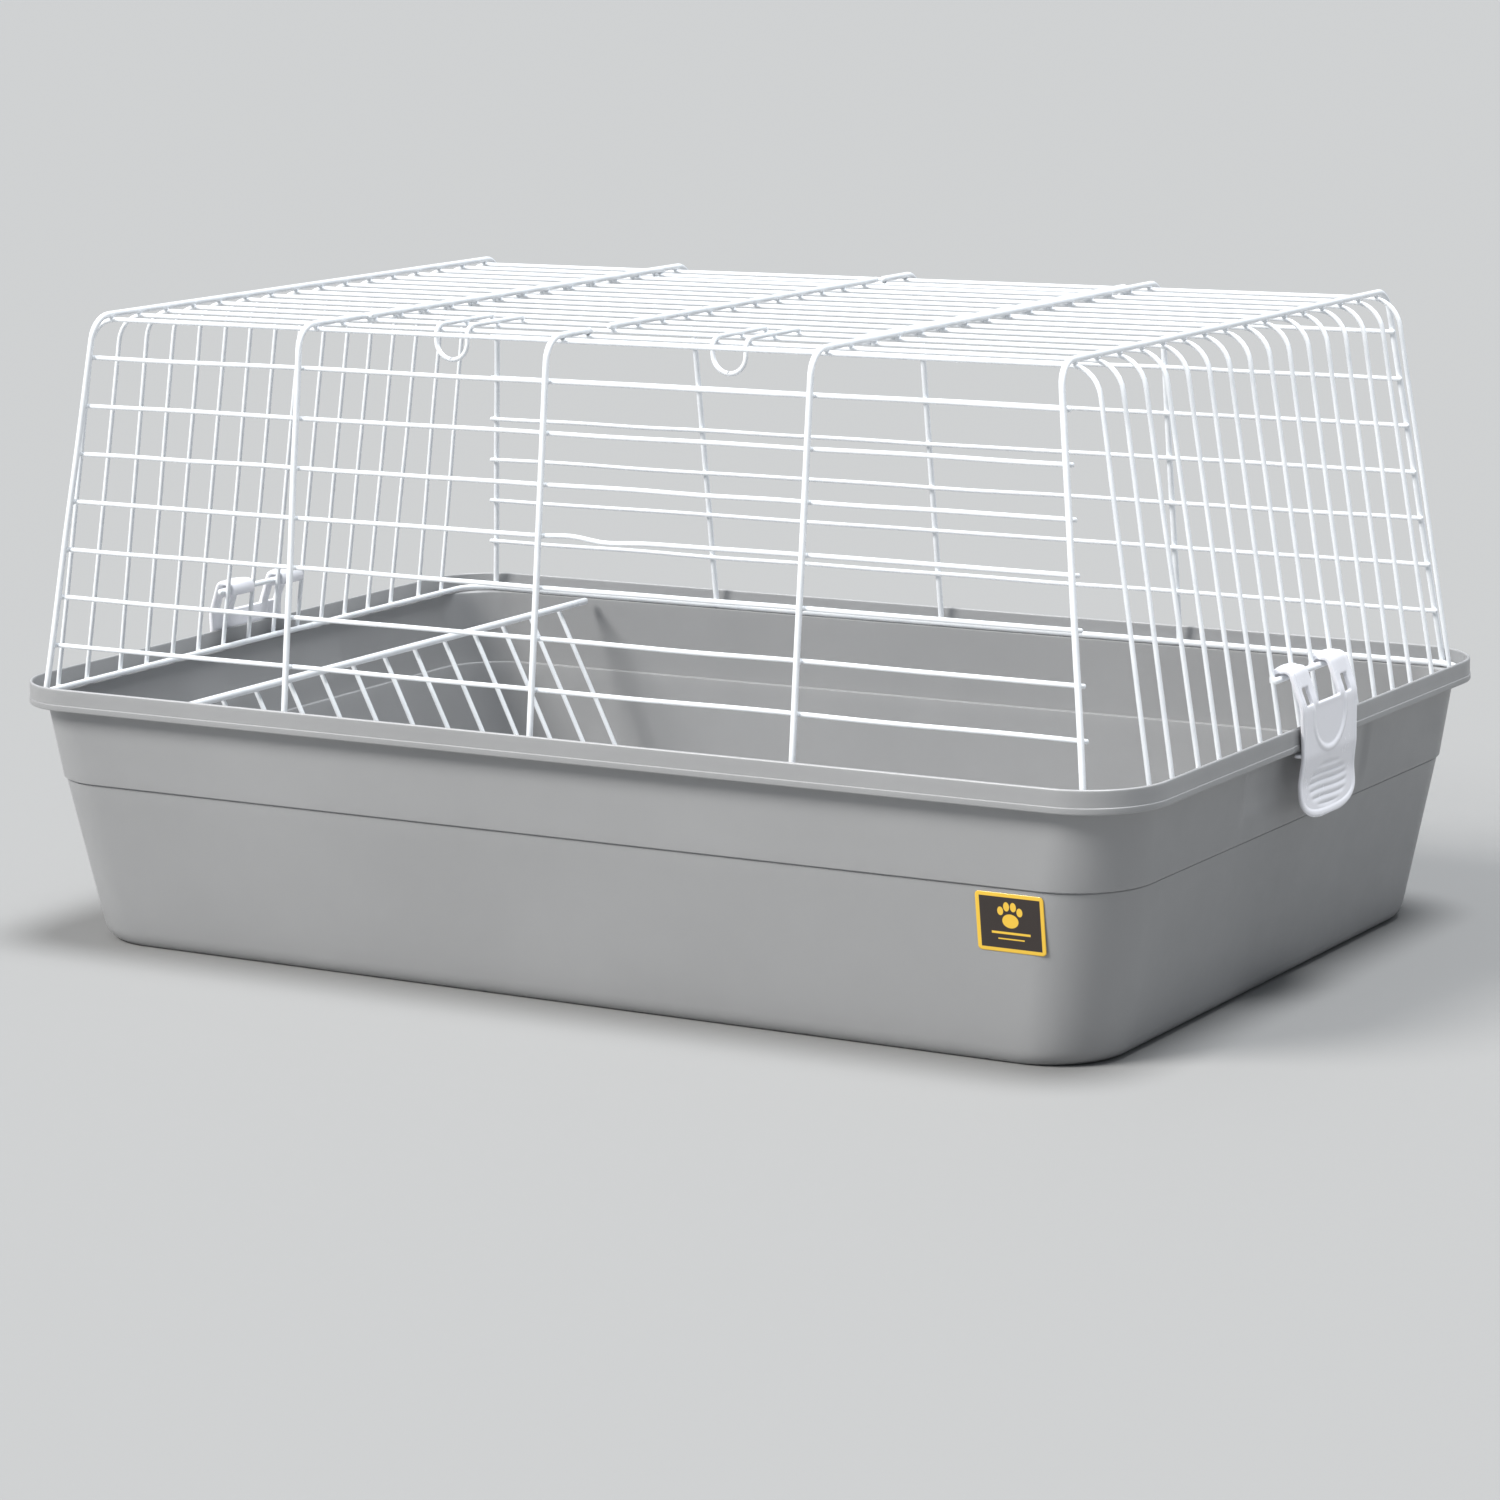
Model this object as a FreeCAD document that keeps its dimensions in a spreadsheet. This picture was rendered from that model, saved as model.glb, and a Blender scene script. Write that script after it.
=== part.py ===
"""A wire-topped rabbit hutch on a deep moulded plastic tub.

The origin is on the floor under the middle of the tub: X runs along the hutch,
Y from the front to the back, Z up.  All sizes are in millimetres.
"""
import FreeCAD
import Part
import math
import os
import Sketcher

V = FreeCAD.Vector
doc = FreeCAD.newDocument("rabbit_hutch")

# ---------------------------------------------------------------- driving sizes
SIZES = {
    # tub: half sizes and corner radii at the floor, the step, the wall's top and the rim
    "base_half_long": 369, "base_half_wide": 240, "base_corner": 46, "base_edge": 14,
    "step_height": 107.5, "step_out": 1.4,
    "step_half_long": 389, "step_half_wide": 253, "step_corner": 48,
    "wall_top": 156.5, "top_half_long": 396.5, "top_half_wide": 257, "top_corner": 44,
    "rim_height": 171, "rim_half_long": 406.5, "rim_half_wide": 267, "rim_corner": 50,
    "bead_height": 3.8, "bead_out": 0.5, "rim_round": 0.9, "skin": 2.6, "floor_skin": 3,
    "grip_half_wide": 88, "grip_low": 122, "grip_high": 154, "grip_depth": 1.2,
    # wires
    "hoop_wire": 4, "thin_wire": 3, "weld_gap": 0.05, "wire_foot": 159.5,
    # hoops: one over each end bay, each bay line and the middle
    "hoop_top": 406.5, "hoop_top_half": 228, "hoop_foot_half": 258.8, "hoop_bend": 16,
    "bay": 183.3, "end_hoop_at": 344.6, "end_hoop_splay": 6.84, "stub_end": 181,
    # long wires over the top and down the ends
    "top_wire_height": 403, "wire_pitch": 28.14, "end_top_half": 358.8, "end_foot_half": 396.3,
    "end_bend": 20, "corner_fan": 1.8, "next_fan": 1.55, "cut_end": 182.3,
    # rails along the front and the back
    "rail_high": 380.2, "rail_pitch": 30.62, "rail_overrun": 2.3,
    # ring inside the foot of the wires, and the bars that carry the latches
    "ring_height": 161.7, "ring_corner": 22, "bar_height": 199.5, "bar_wire": 4, "bar_half": 46,
    # door
    "door_wire_height": 403.4, "door_rod_at": 178.7, "door_front": 158.7, "door_mid_back": 171,
    "door_half": 180.7, "loop_half": 11.5, "loop_back": 127, "loop_drop": 21.2,
    "loop_front": 188.1, "loop_bend": 6.5, "loop_left_at": -96.9, "loop_right_at": 103.1,
    # latches, measured from the bar that they hang on
    "latch_skin": 3, "hook_back": 5.2, "hook_top": 4.6, "hook_front": 5.8, "latch_out": 14.7,
    "latch_length": 86, "hook_half": 12, "hook_slot_half": 3.3, "plate_half": 39.6,
    "plate_waist": 38.4, "plate_top": -16.4, "foot_half": 38,
    # hay rack
    "rack_rod": 5, "rack_wire": 3.2, "rack_top_at": 288, "rack_top_height": 158,
    "rack_foot_at": 214, "rack_foot_height": 5.9, "rack_top_half": 246, "rack_foot_half": 225,
    "rack_pitch": 36, "rack_wires": 13,
    # label
    "label_wide": 44.5, "label_tall": 36, "label_thick": 0.3, "label_at": 323, "label_height": 86.5,
}

sheet = doc.addObject("Spreadsheet::Sheet", "sizes")
for row, (alias, number) in enumerate(SIZES.items(), start=1):
    sheet.set("A%d" % row, alias)
    sheet.set("B%d" % row, str(number))
    sheet.setAlias("B%d" % row, alias)
doc.recompute()


def bind(text):
    """An expression on the sheet: every alias in text becomes sizes.alias."""
    words = []
    word = ""
    for letter in text + " ":
        if letter.isalnum() or letter == "_":
            word += letter
            continue
        words.append("sizes." + word if word in SIZES else word)
        words.append(letter)
        word = ""
    return "".join(words).strip()


def value(text):
    """The number that an expression on the sheet has now."""
    return float(sheet.evalExpression(bind(str(text))))


# ---------------------------------------------------------------- making sub-parts
def new_body(name, at=("0", "0", "0"), axis=V(0, 0, 1), turn="0"):
    """A body named for its node, placed at three expressions and turned about an axis."""
    body = doc.addObject("PartDesign::Body", name)
    body.Label = name
    body.AllowCompound = True
    body.Placement = FreeCAD.Placement(V(*[value(t) for t in at]), FreeCAD.Rotation(axis, value(turn)))
    for letter, text in zip("xyz", at):
        body.setExpression("Placement.Base." + letter, bind(text))
    return body


def new_sketch(body, name, role, offset=None):
    """A sketch on one of the body's own origin planes, raised by an expression."""
    plane = [f for f in body.Origin.OriginFeatures if f.Role == role][0]
    sketch = body.newObject("Sketcher::SketchObject", name)
    sketch.AttachmentSupport = (plane, "")
    sketch.MapMode = "FlatFace"
    if offset:
        sketch.setExpression("AttachmentOffset.Base.z", bind(offset))
    return sketch


def fix_size(sketch, constraint, text):
    """Add a dimension to a sketch and bind it to the sheet."""
    index = sketch.addConstraint(constraint)
    sketch.setExpression("Constraints[%d]" % index, bind(text))


def pin_point(sketch, geometry, end, across, along):
    """Hold a sketch point at two expressions from the sketch's origin."""
    fix_size(sketch, Sketcher.Constraint("DistanceX", -1, 1, geometry, end, value(across)), across)
    fix_size(sketch, Sketcher.Constraint("DistanceY", -1, 1, geometry, end, value(along)), along)


def draw_circle(sketch, across, along, radius):
    """A circle with its centre at two expressions."""
    centre = V(value(across), value(along), 0)
    index = sketch.addGeometry(Part.Circle(centre, V(0, 0, 1), value(radius)), False)
    pin_point(sketch, index, 3, across, along)
    fix_size(sketch, Sketcher.Constraint("Radius", index, value(radius)), radius)


def arc_between(before, corner, after, radius):
    """The fillet of one corner: where it leaves, its middle point and where it joins."""
    back = (before - corner).normalize()
    ahead = (after - corner).normalize()
    half = back.getAngle(ahead) / 2
    reach = radius / math.tan(half)
    middle_line = (back + ahead).normalize()
    centre = corner + middle_line * (radius / math.sin(half))
    return corner + back * reach, centre - middle_line * radius, corner + ahead * reach


def draw_path(sketch, corners, radii, closed=False):
    """Straight runs joined by tangent arcs through corners given as pairs of expressions."""
    points = [V(value(u), value(w), 0) for u, w in corners]
    count = len(points)
    bends = {}
    for i in range(count):
        if closed or 0 < i < count - 1:
            neighbours = points[i - 1], points[(i + 1) % count]
            bends[i] = arc_between(neighbours[0], points[i], neighbours[1], value(radii[i]))
    runs = count if closed else count - 1
    lines = []
    for i in range(runs):
        start = bends[i][2] if i in bends else points[i]
        finish = (i + 1) % count
        stop = bends[finish][0] if finish in bends else points[finish]
        lines.append(sketch.addGeometry(Part.LineSegment(start, stop), False))
    for i, (leave, middle, join) in bends.items():
        arc = sketch.addGeometry(Part.Arc(leave, middle, join), False)
        first = 1 if sketch.getPoint(arc, 1).distanceToPoint(leave) < 1e-4 else 2
        sketch.addConstraint(Sketcher.Constraint("Tangent", lines[i - 1], 2, arc, first))
        sketch.addConstraint(Sketcher.Constraint("Tangent", arc, 3 - first, lines[i % runs], 1))
        fix_size(sketch, Sketcher.Constraint("Radius", arc, value(radii[i])), radii[i])
    for i, (u, w) in enumerate(corners):
        if i not in bends:
            line, end = (lines[0], 1) if i == 0 else (lines[-1], 2)
            pin_point(sketch, line, end, u, w)
            continue
        mark = sketch.addGeometry(Part.Point(points[i]), True)
        pin_point(sketch, mark, 1, u, w)
        sketch.addConstraint(Sketcher.Constraint("PointOnObject", mark, 1, lines[i - 1]))
        sketch.addConstraint(Sketcher.Constraint("PointOnObject", mark, 1, lines[i % runs]))


def draw_plan(sketch, half_long, half_wide, corner):
    """A rounded rectangle about the origin."""
    signs = ((-1, -1), (1, -1), (1, 1), (-1, 1))
    corners = [("%d*(%s)" % (sx, half_long), "%d*(%s)" % (sy, half_wide)) for sx, sy in signs]
    draw_path(sketch, corners, [corner] * 4, closed=True)


def bent_wire(body, name, role, corners, radii, profile_role, start, wire):
    """A round wire carried along a path that leaves the profile's plane at a right angle."""
    path = new_sketch(body, name + "_path", role)
    draw_path(path, corners, radii)
    section = new_sketch(body, name + "_section", profile_role)
    draw_circle(section, start[0], start[1], wire + "/2")
    pipe = body.newObject("PartDesign::AdditivePipe", name + "_pipe")
    pipe.Profile = section
    pipe.Spine = (path, [])
    return pipe


def mirror_in(body, feature, role):
    """Mirror a feature in one of the body's origin planes."""
    mirrored = body.newObject("PartDesign::Mirrored", feature.Name + "_mirror")
    mirrored.Originals = [feature]
    mirrored.MirrorPlane = ([f for f in body.Origin.OriginFeatures if f.Role == role][0], [""])
    body.Tip = mirrored
    return mirrored


def pad(body, sketch, length, midplane=False, reverse=False):
    """Pad a sketch by an expression."""
    feature = body.newObject("PartDesign::Pad", sketch.Name + "_pad")
    feature.Profile = sketch
    feature.Midplane = midplane
    feature.Reversed = reverse
    feature.setExpression("Length", bind(length))
    return feature


def pocket(body, sketch, length, midplane=False, reverse=False):
    """Pocket a sketch by an expression."""
    feature = body.newObject("PartDesign::Pocket", sketch.Name + "_pocket")
    feature.Profile = sketch
    feature.Midplane = midplane
    feature.Reversed = reverse
    feature.setExpression("Length", bind(length))
    return feature


def rod(name, radius, length, at, direction=V(1, 0, 0)):
    """A straight round rod: a cylinder whose axis runs along direction from at."""
    cylinder = doc.addObject("Part::Cylinder", name)
    cylinder.Label = name
    cylinder.setExpression("Radius", bind(radius))
    cylinder.setExpression("Height", bind(length))
    cylinder.Placement = FreeCAD.Placement(V(*[value(t) for t in at]),
                                           FreeCAD.Rotation(V(0, 0, 1), direction))
    for letter, text in zip("xyz", at):
        cylinder.setExpression("Placement.Base." + letter, bind(text))
    return cylinder


# ---------------------------------------------------------------- tub
def loft(body, name, levels):
    """Straight-sided loft through rounded rectangles: each a height, two half sizes and a corner."""
    sketches = []
    for number, (height, half_long, half_wide, corner) in enumerate(levels):
        sketch = new_sketch(body, "%s_%d" % (name, number), "XY_Plane", height)
        draw_plan(sketch, half_long, half_wide, corner)
        sketches.append(sketch)
    feature = body.newObject("PartDesign::AdditiveLoft", name)
    feature.Profile = sketches[0]
    feature.Sections = sketches[1:]
    feature.Ruled = True
    return feature


def rounded_foot(floor, base, edge):
    """Levels up the rounded bottom edge of the wall: a quarter circle in four straight stages."""
    levels = []
    for angle in ("0", "22.5", "45", "67.5", "90"):
        rise = "%s*(1 - cos(%s))" % (edge, angle)
        inset = "%s*(1 - sin(%s))" % (edge, angle)
        half_long = "%s + %s*(step_half_long - base_half_long)/step_height - %s" % (base[1], rise, inset)
        half_wide = "%s + %s*(step_half_wide - base_half_wide)/step_height - %s" % (base[2], rise, inset)
        levels.append(("%s + %s" % (floor, rise), half_long, half_wide, "%s - %s" % (base[3], inset)))
    return levels


def fillet_ring(body, base, height, radius, name):
    """Fillet every edge of base that lies wholly at one height."""
    doc.recompute()
    edges = []
    for number, edge in enumerate(base.Shape.Edges, start=1):
        box = edge.BoundBox
        if abs(box.ZMin - height) < 1e-3 and abs(box.ZMax - height) < 1e-3:
            edges.append("Edge%d" % number)
    feature = body.newObject("PartDesign::Fillet", name)
    feature.Base = (base, edges)
    feature.setExpression("Radius", bind(radius))
    return feature


def make_hollow(base, step, top):
    """The space inside the tub, which is cut out of it: a skin's thickness in from the outside."""
    body = new_body("tub_hollow")
    floor = ("floor_skin",) + tuple(text + " - skin" for text in base[1:])
    inner_step = ("step_height",) + tuple(text + " - skin" for text in step[1:])
    foot = rounded_foot("floor_skin", floor, "(base_edge - floor_skin)")
    loft(body, "lower_hollow", foot + [inner_step])
    wide_step = ("step_height",) + tuple(text + " + step_out - skin" for text in step[1:])
    inner_top = ("wall_top + skin",) + tuple(text + " - skin" for text in top[1:])
    loft(body, "upper_hollow", [wide_step, inner_top])
    rim = new_sketch(body, "rim_hollow", "XY_Plane", "wall_top + skin")
    draw_plan(rim, "rim_half_long - skin", "rim_half_wide - skin", "rim_corner - skin")
    pad(body, rim, "rim_height - wall_top")
    return body


def make_tub():
    """Deep tub: drafted wall, a step, a ledge and an upstanding rim with a bead at its foot."""
    body = new_body("tub")
    base = ("0", "base_half_long", "base_half_wide", "base_corner")
    step = ("step_height", "step_half_long", "step_half_wide", "step_corner")
    loft(body, "lower_wall", rounded_foot("0", base, "base_edge") + [step])
    wide_step = ("step_height",) + tuple(text + " + step_out" for text in step[1:])
    top = ("wall_top", "top_half_long", "top_half_wide", "top_corner")
    loft(body, "upper_wall", [wide_step, top])
    bead = new_sketch(body, "bead", "XY_Plane", "wall_top")
    draw_plan(bead, "rim_half_long", "rim_half_wide", "rim_corner")
    pad(body, bead, "bead_height")
    rim = new_sketch(body, "rim", "XY_Plane", "wall_top")
    draw_plan(rim, "rim_half_long - bead_out", "rim_half_wide - bead_out", "rim_corner - bead_out")
    pad(body, rim, "rim_height - wall_top")
    fillet_ring(body, body.Tip, value("rim_height"), "rim_round", "rim_edge")
    cut = body.newObject("PartDesign::Boolean", "hollow")
    cut.Type = "Cut"
    cut.addObjects([make_hollow(base, step, top)])
    for side, reverse in (("right", False), ("left", True)):
        grip = new_sketch(body, "grip_" + side, "YZ_Plane")
        low = [("-1*grip_half_wide", "grip_low"), ("grip_half_wide", "grip_low")]
        high = [("grip_half_wide", "grip_high"), ("-1*grip_half_wide", "grip_high")]
        draw_path(grip, low + high, ["14"] * 4, closed=True)
        sign = "" if side == "right" else "-1*"
        offset = bind(sign + "(top_half_long - grip_depth - 2)")
        grip.setExpression("AttachmentOffset.Base.z", offset)
        pocket(body, grip, "20", reverse=side == "right")
    return body


# ---------------------------------------------------------------- hoops
HOOP_FOOT = "-1*(hoop_top - wire_foot)"


def make_hoop(name, at, tilt):
    """A full hoop: flat over the top, a small bend, then legs that lean out to the feet."""
    body = new_body(name, (at, "0", "hoop_top"), V(0, 1, 0), tilt)
    foot = "%s/cos(%s)" % (HOOP_FOOT, tilt)
    corners = [("0", "0"), ("hoop_top_half", "0"), ("hoop_foot_half", foot)]
    bends = ["0", "hoop_bend"]
    pipe = bent_wire(body, name, "YZ_Plane", corners, bends, "XZ_Plane", ("0", "0"), "hoop_wire")
    mirror_in(body, pipe, "XZ_Plane")


def make_half_hoop(name, side):
    """The middle hoop is cut by the door: one leg with a short stub over two long wires."""
    body = new_body(name, ("0", "%d*stub_end" % side, "hoop_top"))
    ahead = "%d*(hoop_top_half - stub_end)" % side
    foot = "%d*(hoop_foot_half - stub_end)" % side
    corners = [("0", "0"), (ahead, "0"), (foot, HOOP_FOOT)]
    bends = ["0", "hoop_bend"]
    bent_wire(body, name, "YZ_Plane", corners, bends, "XZ_Plane", ("0", "0"), "hoop_wire")


# ---------------------------------------------------------------- long wires
END_FOOT = "-1*(top_wire_height - wire_foot)"


def wire_line(index):
    """Distance of a long wire from the middle of the top, counted from the front."""
    return "(%s)*wire_pitch" % (index - 7.5)


def make_long_wire(name, index, fan):
    """A long wire in one piece: over the whole top and down both ends."""
    body = new_body(name, ("0", wire_line(index), "top_wire_height"), V(1, 0, 0), fan)
    corners = [("0", "0"), ("end_top_half", "0"), ("end_foot_half", END_FOOT)]
    bends = ["0", "end_bend"]
    pipe = bent_wire(body, name, "XZ_Plane", corners, bends, "YZ_Plane", ("0", "0"), "thin_wire")
    mirror_in(body, pipe, "YZ_Plane")


def make_cut_wire(name, index):
    """A long wire cut by the door opening: a matching pair, one down each end."""
    body = new_body(name, ("0", wire_line(index), "top_wire_height"))
    corners = [("cut_end", "0"), ("end_top_half", "0"), ("end_foot_half", END_FOOT)]
    path = new_sketch(body, name + "_path", "XZ_Plane")
    draw_path(path, corners, ["0", "end_bend"])
    section = new_sketch(body, name + "_section", "YZ_Plane", "cut_end")
    draw_circle(section, "0", "0", "thin_wire/2")
    pipe = body.newObject("PartDesign::AdditivePipe", name + "_pipe")
    pipe.Profile = section
    pipe.Spine = (path, [])
    mirror_in(body, pipe, "YZ_Plane")


# ---------------------------------------------------------------- rails, ring and latch bars
LEAN = "(hoop_foot_half - hoop_top_half)/(hoop_top - wire_foot)"
WELD = "(hoop_wire/2 + thin_wire/2 + weld_gap)"


def make_rail(name, side, index):
    """A straight rail welded inside the hoop legs, from end hoop to end hoop."""
    height = "(rail_high - %d*rail_pitch)" % index
    across = "%d*(hoop_top_half + (hoop_top - %s)*%s - %s*1.008)" % (side, height, LEAN, WELD)
    half = "(end_hoop_at + (hoop_top - %s)*tan(end_hoop_splay) + rail_overrun)" % height
    rod(name, "thin_wire/2", "2*" + half, ("-1*" + half, across, height))


def make_ring():
    """The ring inside the feet of all the upright wires, which sits on the tub's ledge."""
    body = new_body("foot_ring", ("0", "0", "ring_height"))
    rear = "(hoop_foot_half - hoop_wire - weld_gap - 0.3)"
    front = "-1*" + rear
    end = "(end_foot_half - hoop_wire/2 - thin_wire/2 - weld_gap - 0.4)"
    corners = [("0", front), (end, front), (end, rear), ("0", rear)]
    pipe = bent_wire(body, "ring", "XY_Plane", corners, ["0", "ring_corner", "ring_corner"],
                     "YZ_Plane", (front, "0"), "hoop_wire")
    mirror_in(body, pipe, "YZ_Plane")


END_LEAN = "(end_foot_half - end_top_half)/(top_wire_height - wire_foot)"
BAR_OUT = "(bar_wire/2 + thin_wire/2 + weld_gap)*1.012"
BAR_AT = "(end_top_half + (top_wire_height - bar_height)*%s + %s)" % (END_LEAN, BAR_OUT)


def make_latch_bar(name, side):
    """A short bar outside the end wires, which a latch hangs on."""
    at = ("%d*%s" % (side, BAR_AT), "-1*bar_half", "bar_height")
    rod(name, "bar_wire/2", "2*bar_half", at, V(0, 1, 0))


# ---------------------------------------------------------------- door
ROD_HEIGHT = "(door_wire_height + hoop_wire/2 + thin_wire/2 + weld_gap)"
HINGE_LINE = "(6.5*wire_pitch)"


def make_door_rod(name, side):
    """A side rod of the door, curled round the last but one long wire as a hinge."""
    body = new_body(name, ("%d*door_rod_at" % side, HINGE_LINE, "top_wire_height"))
    rise = "(%s - top_wire_height)" % ROD_HEIGHT
    front = "-1*(%s + door_front)" % HINGE_LINE
    under = "-1*" + rise
    turn = "(%s - 0.02)" % rise
    corners = [(front, rise), (rise, rise), (rise, under), (under, under), (under, "-0.6")]
    path = new_sketch(body, name + "_path", "YZ_Plane")
    draw_path(path, corners, ["0", turn, turn, turn])
    section = new_sketch(body, name + "_section", "XZ_Plane", "%s + door_front" % HINGE_LINE)
    draw_circle(section, "0", rise, "hoop_wire/2")
    pipe = body.newObject("PartDesign::AdditivePipe", name + "_pipe")
    pipe.Profile = section
    pipe.Spine = (path, [])


def make_door_wires():
    """The twelve straight wires of the door, in line with the cut wires of the top."""
    body = new_body("door_wires", ("0", "0", "door_wire_height"))
    section = new_sketch(body, "door_wire_section", "YZ_Plane")
    draw_circle(section, "-5.5*wire_pitch", "0", "thin_wire/2")
    wire = pad(body, section, "2*door_half", midplane=True)
    row_of = body.newObject("PartDesign::LinearPattern", "door_wire_row")
    row_of.Originals = [wire]
    row_of.Direction = (section, ["H_Axis"])
    row_of.setExpression("Length", bind("11*wire_pitch"))
    row_of.Occurrences = 12
    body.Tip = row_of


def make_catch_loop(name, at):
    """A wire loop welded over two door wires, bent down in front of the second long wire."""
    body = new_body(name, (at, "0", "door_wire_height + thin_wire + weld_gap"))
    bow_height = "-1*(loop_drop - loop_half)"
    leg = [("-1*loop_back", "0"), ("-1*loop_front", "0"), ("-1*loop_front", bow_height)]
    left = make_leg(body, name + "_leg", leg)
    mirror_in(body, left, "YZ_Plane")
    sweep = new_sketch(body, name + "_bow_section", "XY_Plane", bow_height)
    draw_circle(sweep, "loop_half", "-1*loop_front", "thin_wire/2")
    bow = body.newObject("PartDesign::Revolution", name + "_bow")
    bow.Profile = sweep
    axis = new_sketch(body, name + "_bow_axis", "XY_Plane", bow_height)
    index = axis.addGeometry(Part.LineSegment(V(0, -value("loop_front"), 0), V(0, 0, 0)), True)
    pin_point(axis, index, 1, "0", "-1*loop_front")
    axis.addConstraint(Sketcher.Constraint("Coincident", index, 2, -1, 1))
    bow.ReferenceAxis = (axis, ["Edge1"])
    axis.toggleConstruction(index)
    bow.Angle = 180
    body.Tip = bow


def make_leg(body, name, corners):
    """One straight leg of a loop, set off from the loop's middle."""
    path = new_sketch(body, name + "_path", "YZ_Plane", "loop_half")
    draw_path(path, corners, ["0", "loop_bend"])
    section = new_sketch(body, name + "_section", "XZ_Plane", "loop_back")
    draw_circle(section, "loop_half", "0", "thin_wire/2")
    pipe = body.newObject("PartDesign::AdditivePipe", name + "_pipe")
    pipe.Profile = section
    pipe.Spine = (path, [])
    return pipe


# ---------------------------------------------------------------- latches
def make_latch(name, side):
    """A moulded latch: two hooks over the bar, a thumb plate and a foot that goes under the lip."""
    turn = "0" if side > 0 else "180"
    body = new_body(name, ("%d*%s" % (side, BAR_AT), "0", "bar_height"), V(0, 0, 1), turn)
    corners = [("-1*hook_back", "-3"), ("-1*hook_back", "hook_top"), ("hook_front", "hook_top"),
               ("latch_out - 0.4", "plate_top"), ("latch_out", "-48"), ("latch_out - 2", "-64"),
               ("latch_out", "-1*latch_length")]
    path = new_sketch(body, name + "_path", "XZ_Plane")
    draw_path(path, corners, ["0", "4.4", "4.4", "20", "30", "30"])
    section = new_sketch(body, name + "_section", "XY_Plane", "-3")
    half = "(wire_pitch + hook_half)"
    inside, outside = "-1*hook_back - latch_skin/2", "-1*hook_back + latch_skin/2"
    draw_box(section, inside, "-1*" + half, outside, half)
    band = body.newObject("PartDesign::AdditivePipe", name + "_band")
    band.Profile = section
    band.Spine = (path, [])
    trim = new_sketch(body, name + "_trim", "YZ_Plane", "-20")
    draw_trim(trim, half)
    pocket(body, trim, "60", reverse=True)
    foot = new_sketch(body, name + "_foot", "XY_Plane", "-48")
    draw_box(foot, "8", "-1*foot_half", "latch_out", "foot_half")
    pad(body, foot, "3.1")


def draw_box(sketch, left, low, right, high):
    """A square-cornered rectangle between two corners given as expressions."""
    ends = [(left, low), (right, low), (right, high), (left, high)]
    points = [V(value(u), value(w), 0) for u, w in ends]
    lines = []
    for i in range(4):
        lines.append(sketch.addGeometry(Part.LineSegment(points[i], points[(i + 1) % 4]), False))
    for i in range(4):
        sketch.addConstraint(Sketcher.Constraint("Coincident", lines[i], 2, lines[(i + 1) % 4], 1))
    for i, kind in enumerate(("Horizontal", "Vertical", "Horizontal", "Vertical")):
        sketch.addConstraint(Sketcher.Constraint(kind, lines[i]))
    pin_point(sketch, lines[0], 1, left, low)
    pin_point(sketch, lines[2], 1, right, high)


def draw_trim(sketch, half):
    """What is cut from the latch's band: the gap between the hooks, their slots and the sides."""
    gap = "(wire_pitch - hook_half)"
    draw_path(sketch, [("-1*" + gap, "12"), ("-1*" + gap, "plate_top"), (gap, "plate_top"), (gap, "12")],
              ["1", "3", "3", "1"], closed=True)
    for y in ("-1*wire_pitch", "wire_pitch"):
        low, high = y + " - hook_slot_half", y + " + hook_slot_half"
        slot = [(low, "-17"), (high, "-17"), (high, "-6.5"), (low, "-6.5")]
        draw_path(sketch, slot, ["2.5"] * 4, closed=True)
    for s in ("-1*", ""):
        side = [(s + "(%s + 9)" % half, "-8"), (s + "(%s + 0.5)" % half, "-8"), (s + "plate_half", "-20"),
                (s + "plate_waist", "-47"), (s + "(plate_half - 0.6)", "-64"), (s + "plate_half", "-72"),
                (s + "(plate_half - 12)", "-85"), (s + "8", "-1*(latch_length + 0.4)"),
                (s + "8", "-96"), (s + "(%s + 9)" % half, "-96")]
        bends = ["1", "1.5", "20", "26", "24", "7", "16", "1", "1", "1"]
        draw_path(sketch, side, bends, closed=True)


# ---------------------------------------------------------------- hay rack and label
def make_rack():
    """A grid that leans against the hay: a top rod, a foot rod and thirteen sloping wires."""
    for end in ("rack_top", "rack_foot"):
        half = end + "_half"
        at = ("-1*%s_at" % end, "-1*" + half, end + "_height")
        rod(end + "_rod", "rack_rod/2", "2*" + half, at, V(0, 1, 0))
    across, rise = "(rack_top_at - rack_foot_at)", "(rack_top_height - rack_foot_height)"
    corner = ("-1*rack_top_at", "-1*(rack_wires - 1)/2*rack_pitch", "rack_top_height")
    body = new_body("rack_wires", corner)
    slope = math.degrees(math.atan2(value(across), value(rise)))
    body.Placement.Rotation = FreeCAD.Rotation(V(0, 1, 0), -slope)
    section = new_sketch(body, "rack_wire_section", "XY_Plane", "2")
    draw_circle(section, "-1*(rack_rod/2 + rack_wire/2 + weld_gap)", "0", "rack_wire/2")
    length = "sqrt(pow(%s; 2) + pow(%s; 2)) + 1.9" % (across, rise)
    wire = pad(body, section, length, reverse=True)
    row_of = body.newObject("PartDesign::LinearPattern", "rack_wire_row")
    row_of.Originals = [wire]
    row_of.Direction = (section, ["V_Axis"])
    row_of.setExpression("Length", bind("(rack_wires - 1)*rack_pitch"))
    row_of.Occurrences = int(value("rack_wires"))
    body.Tip = row_of


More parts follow.
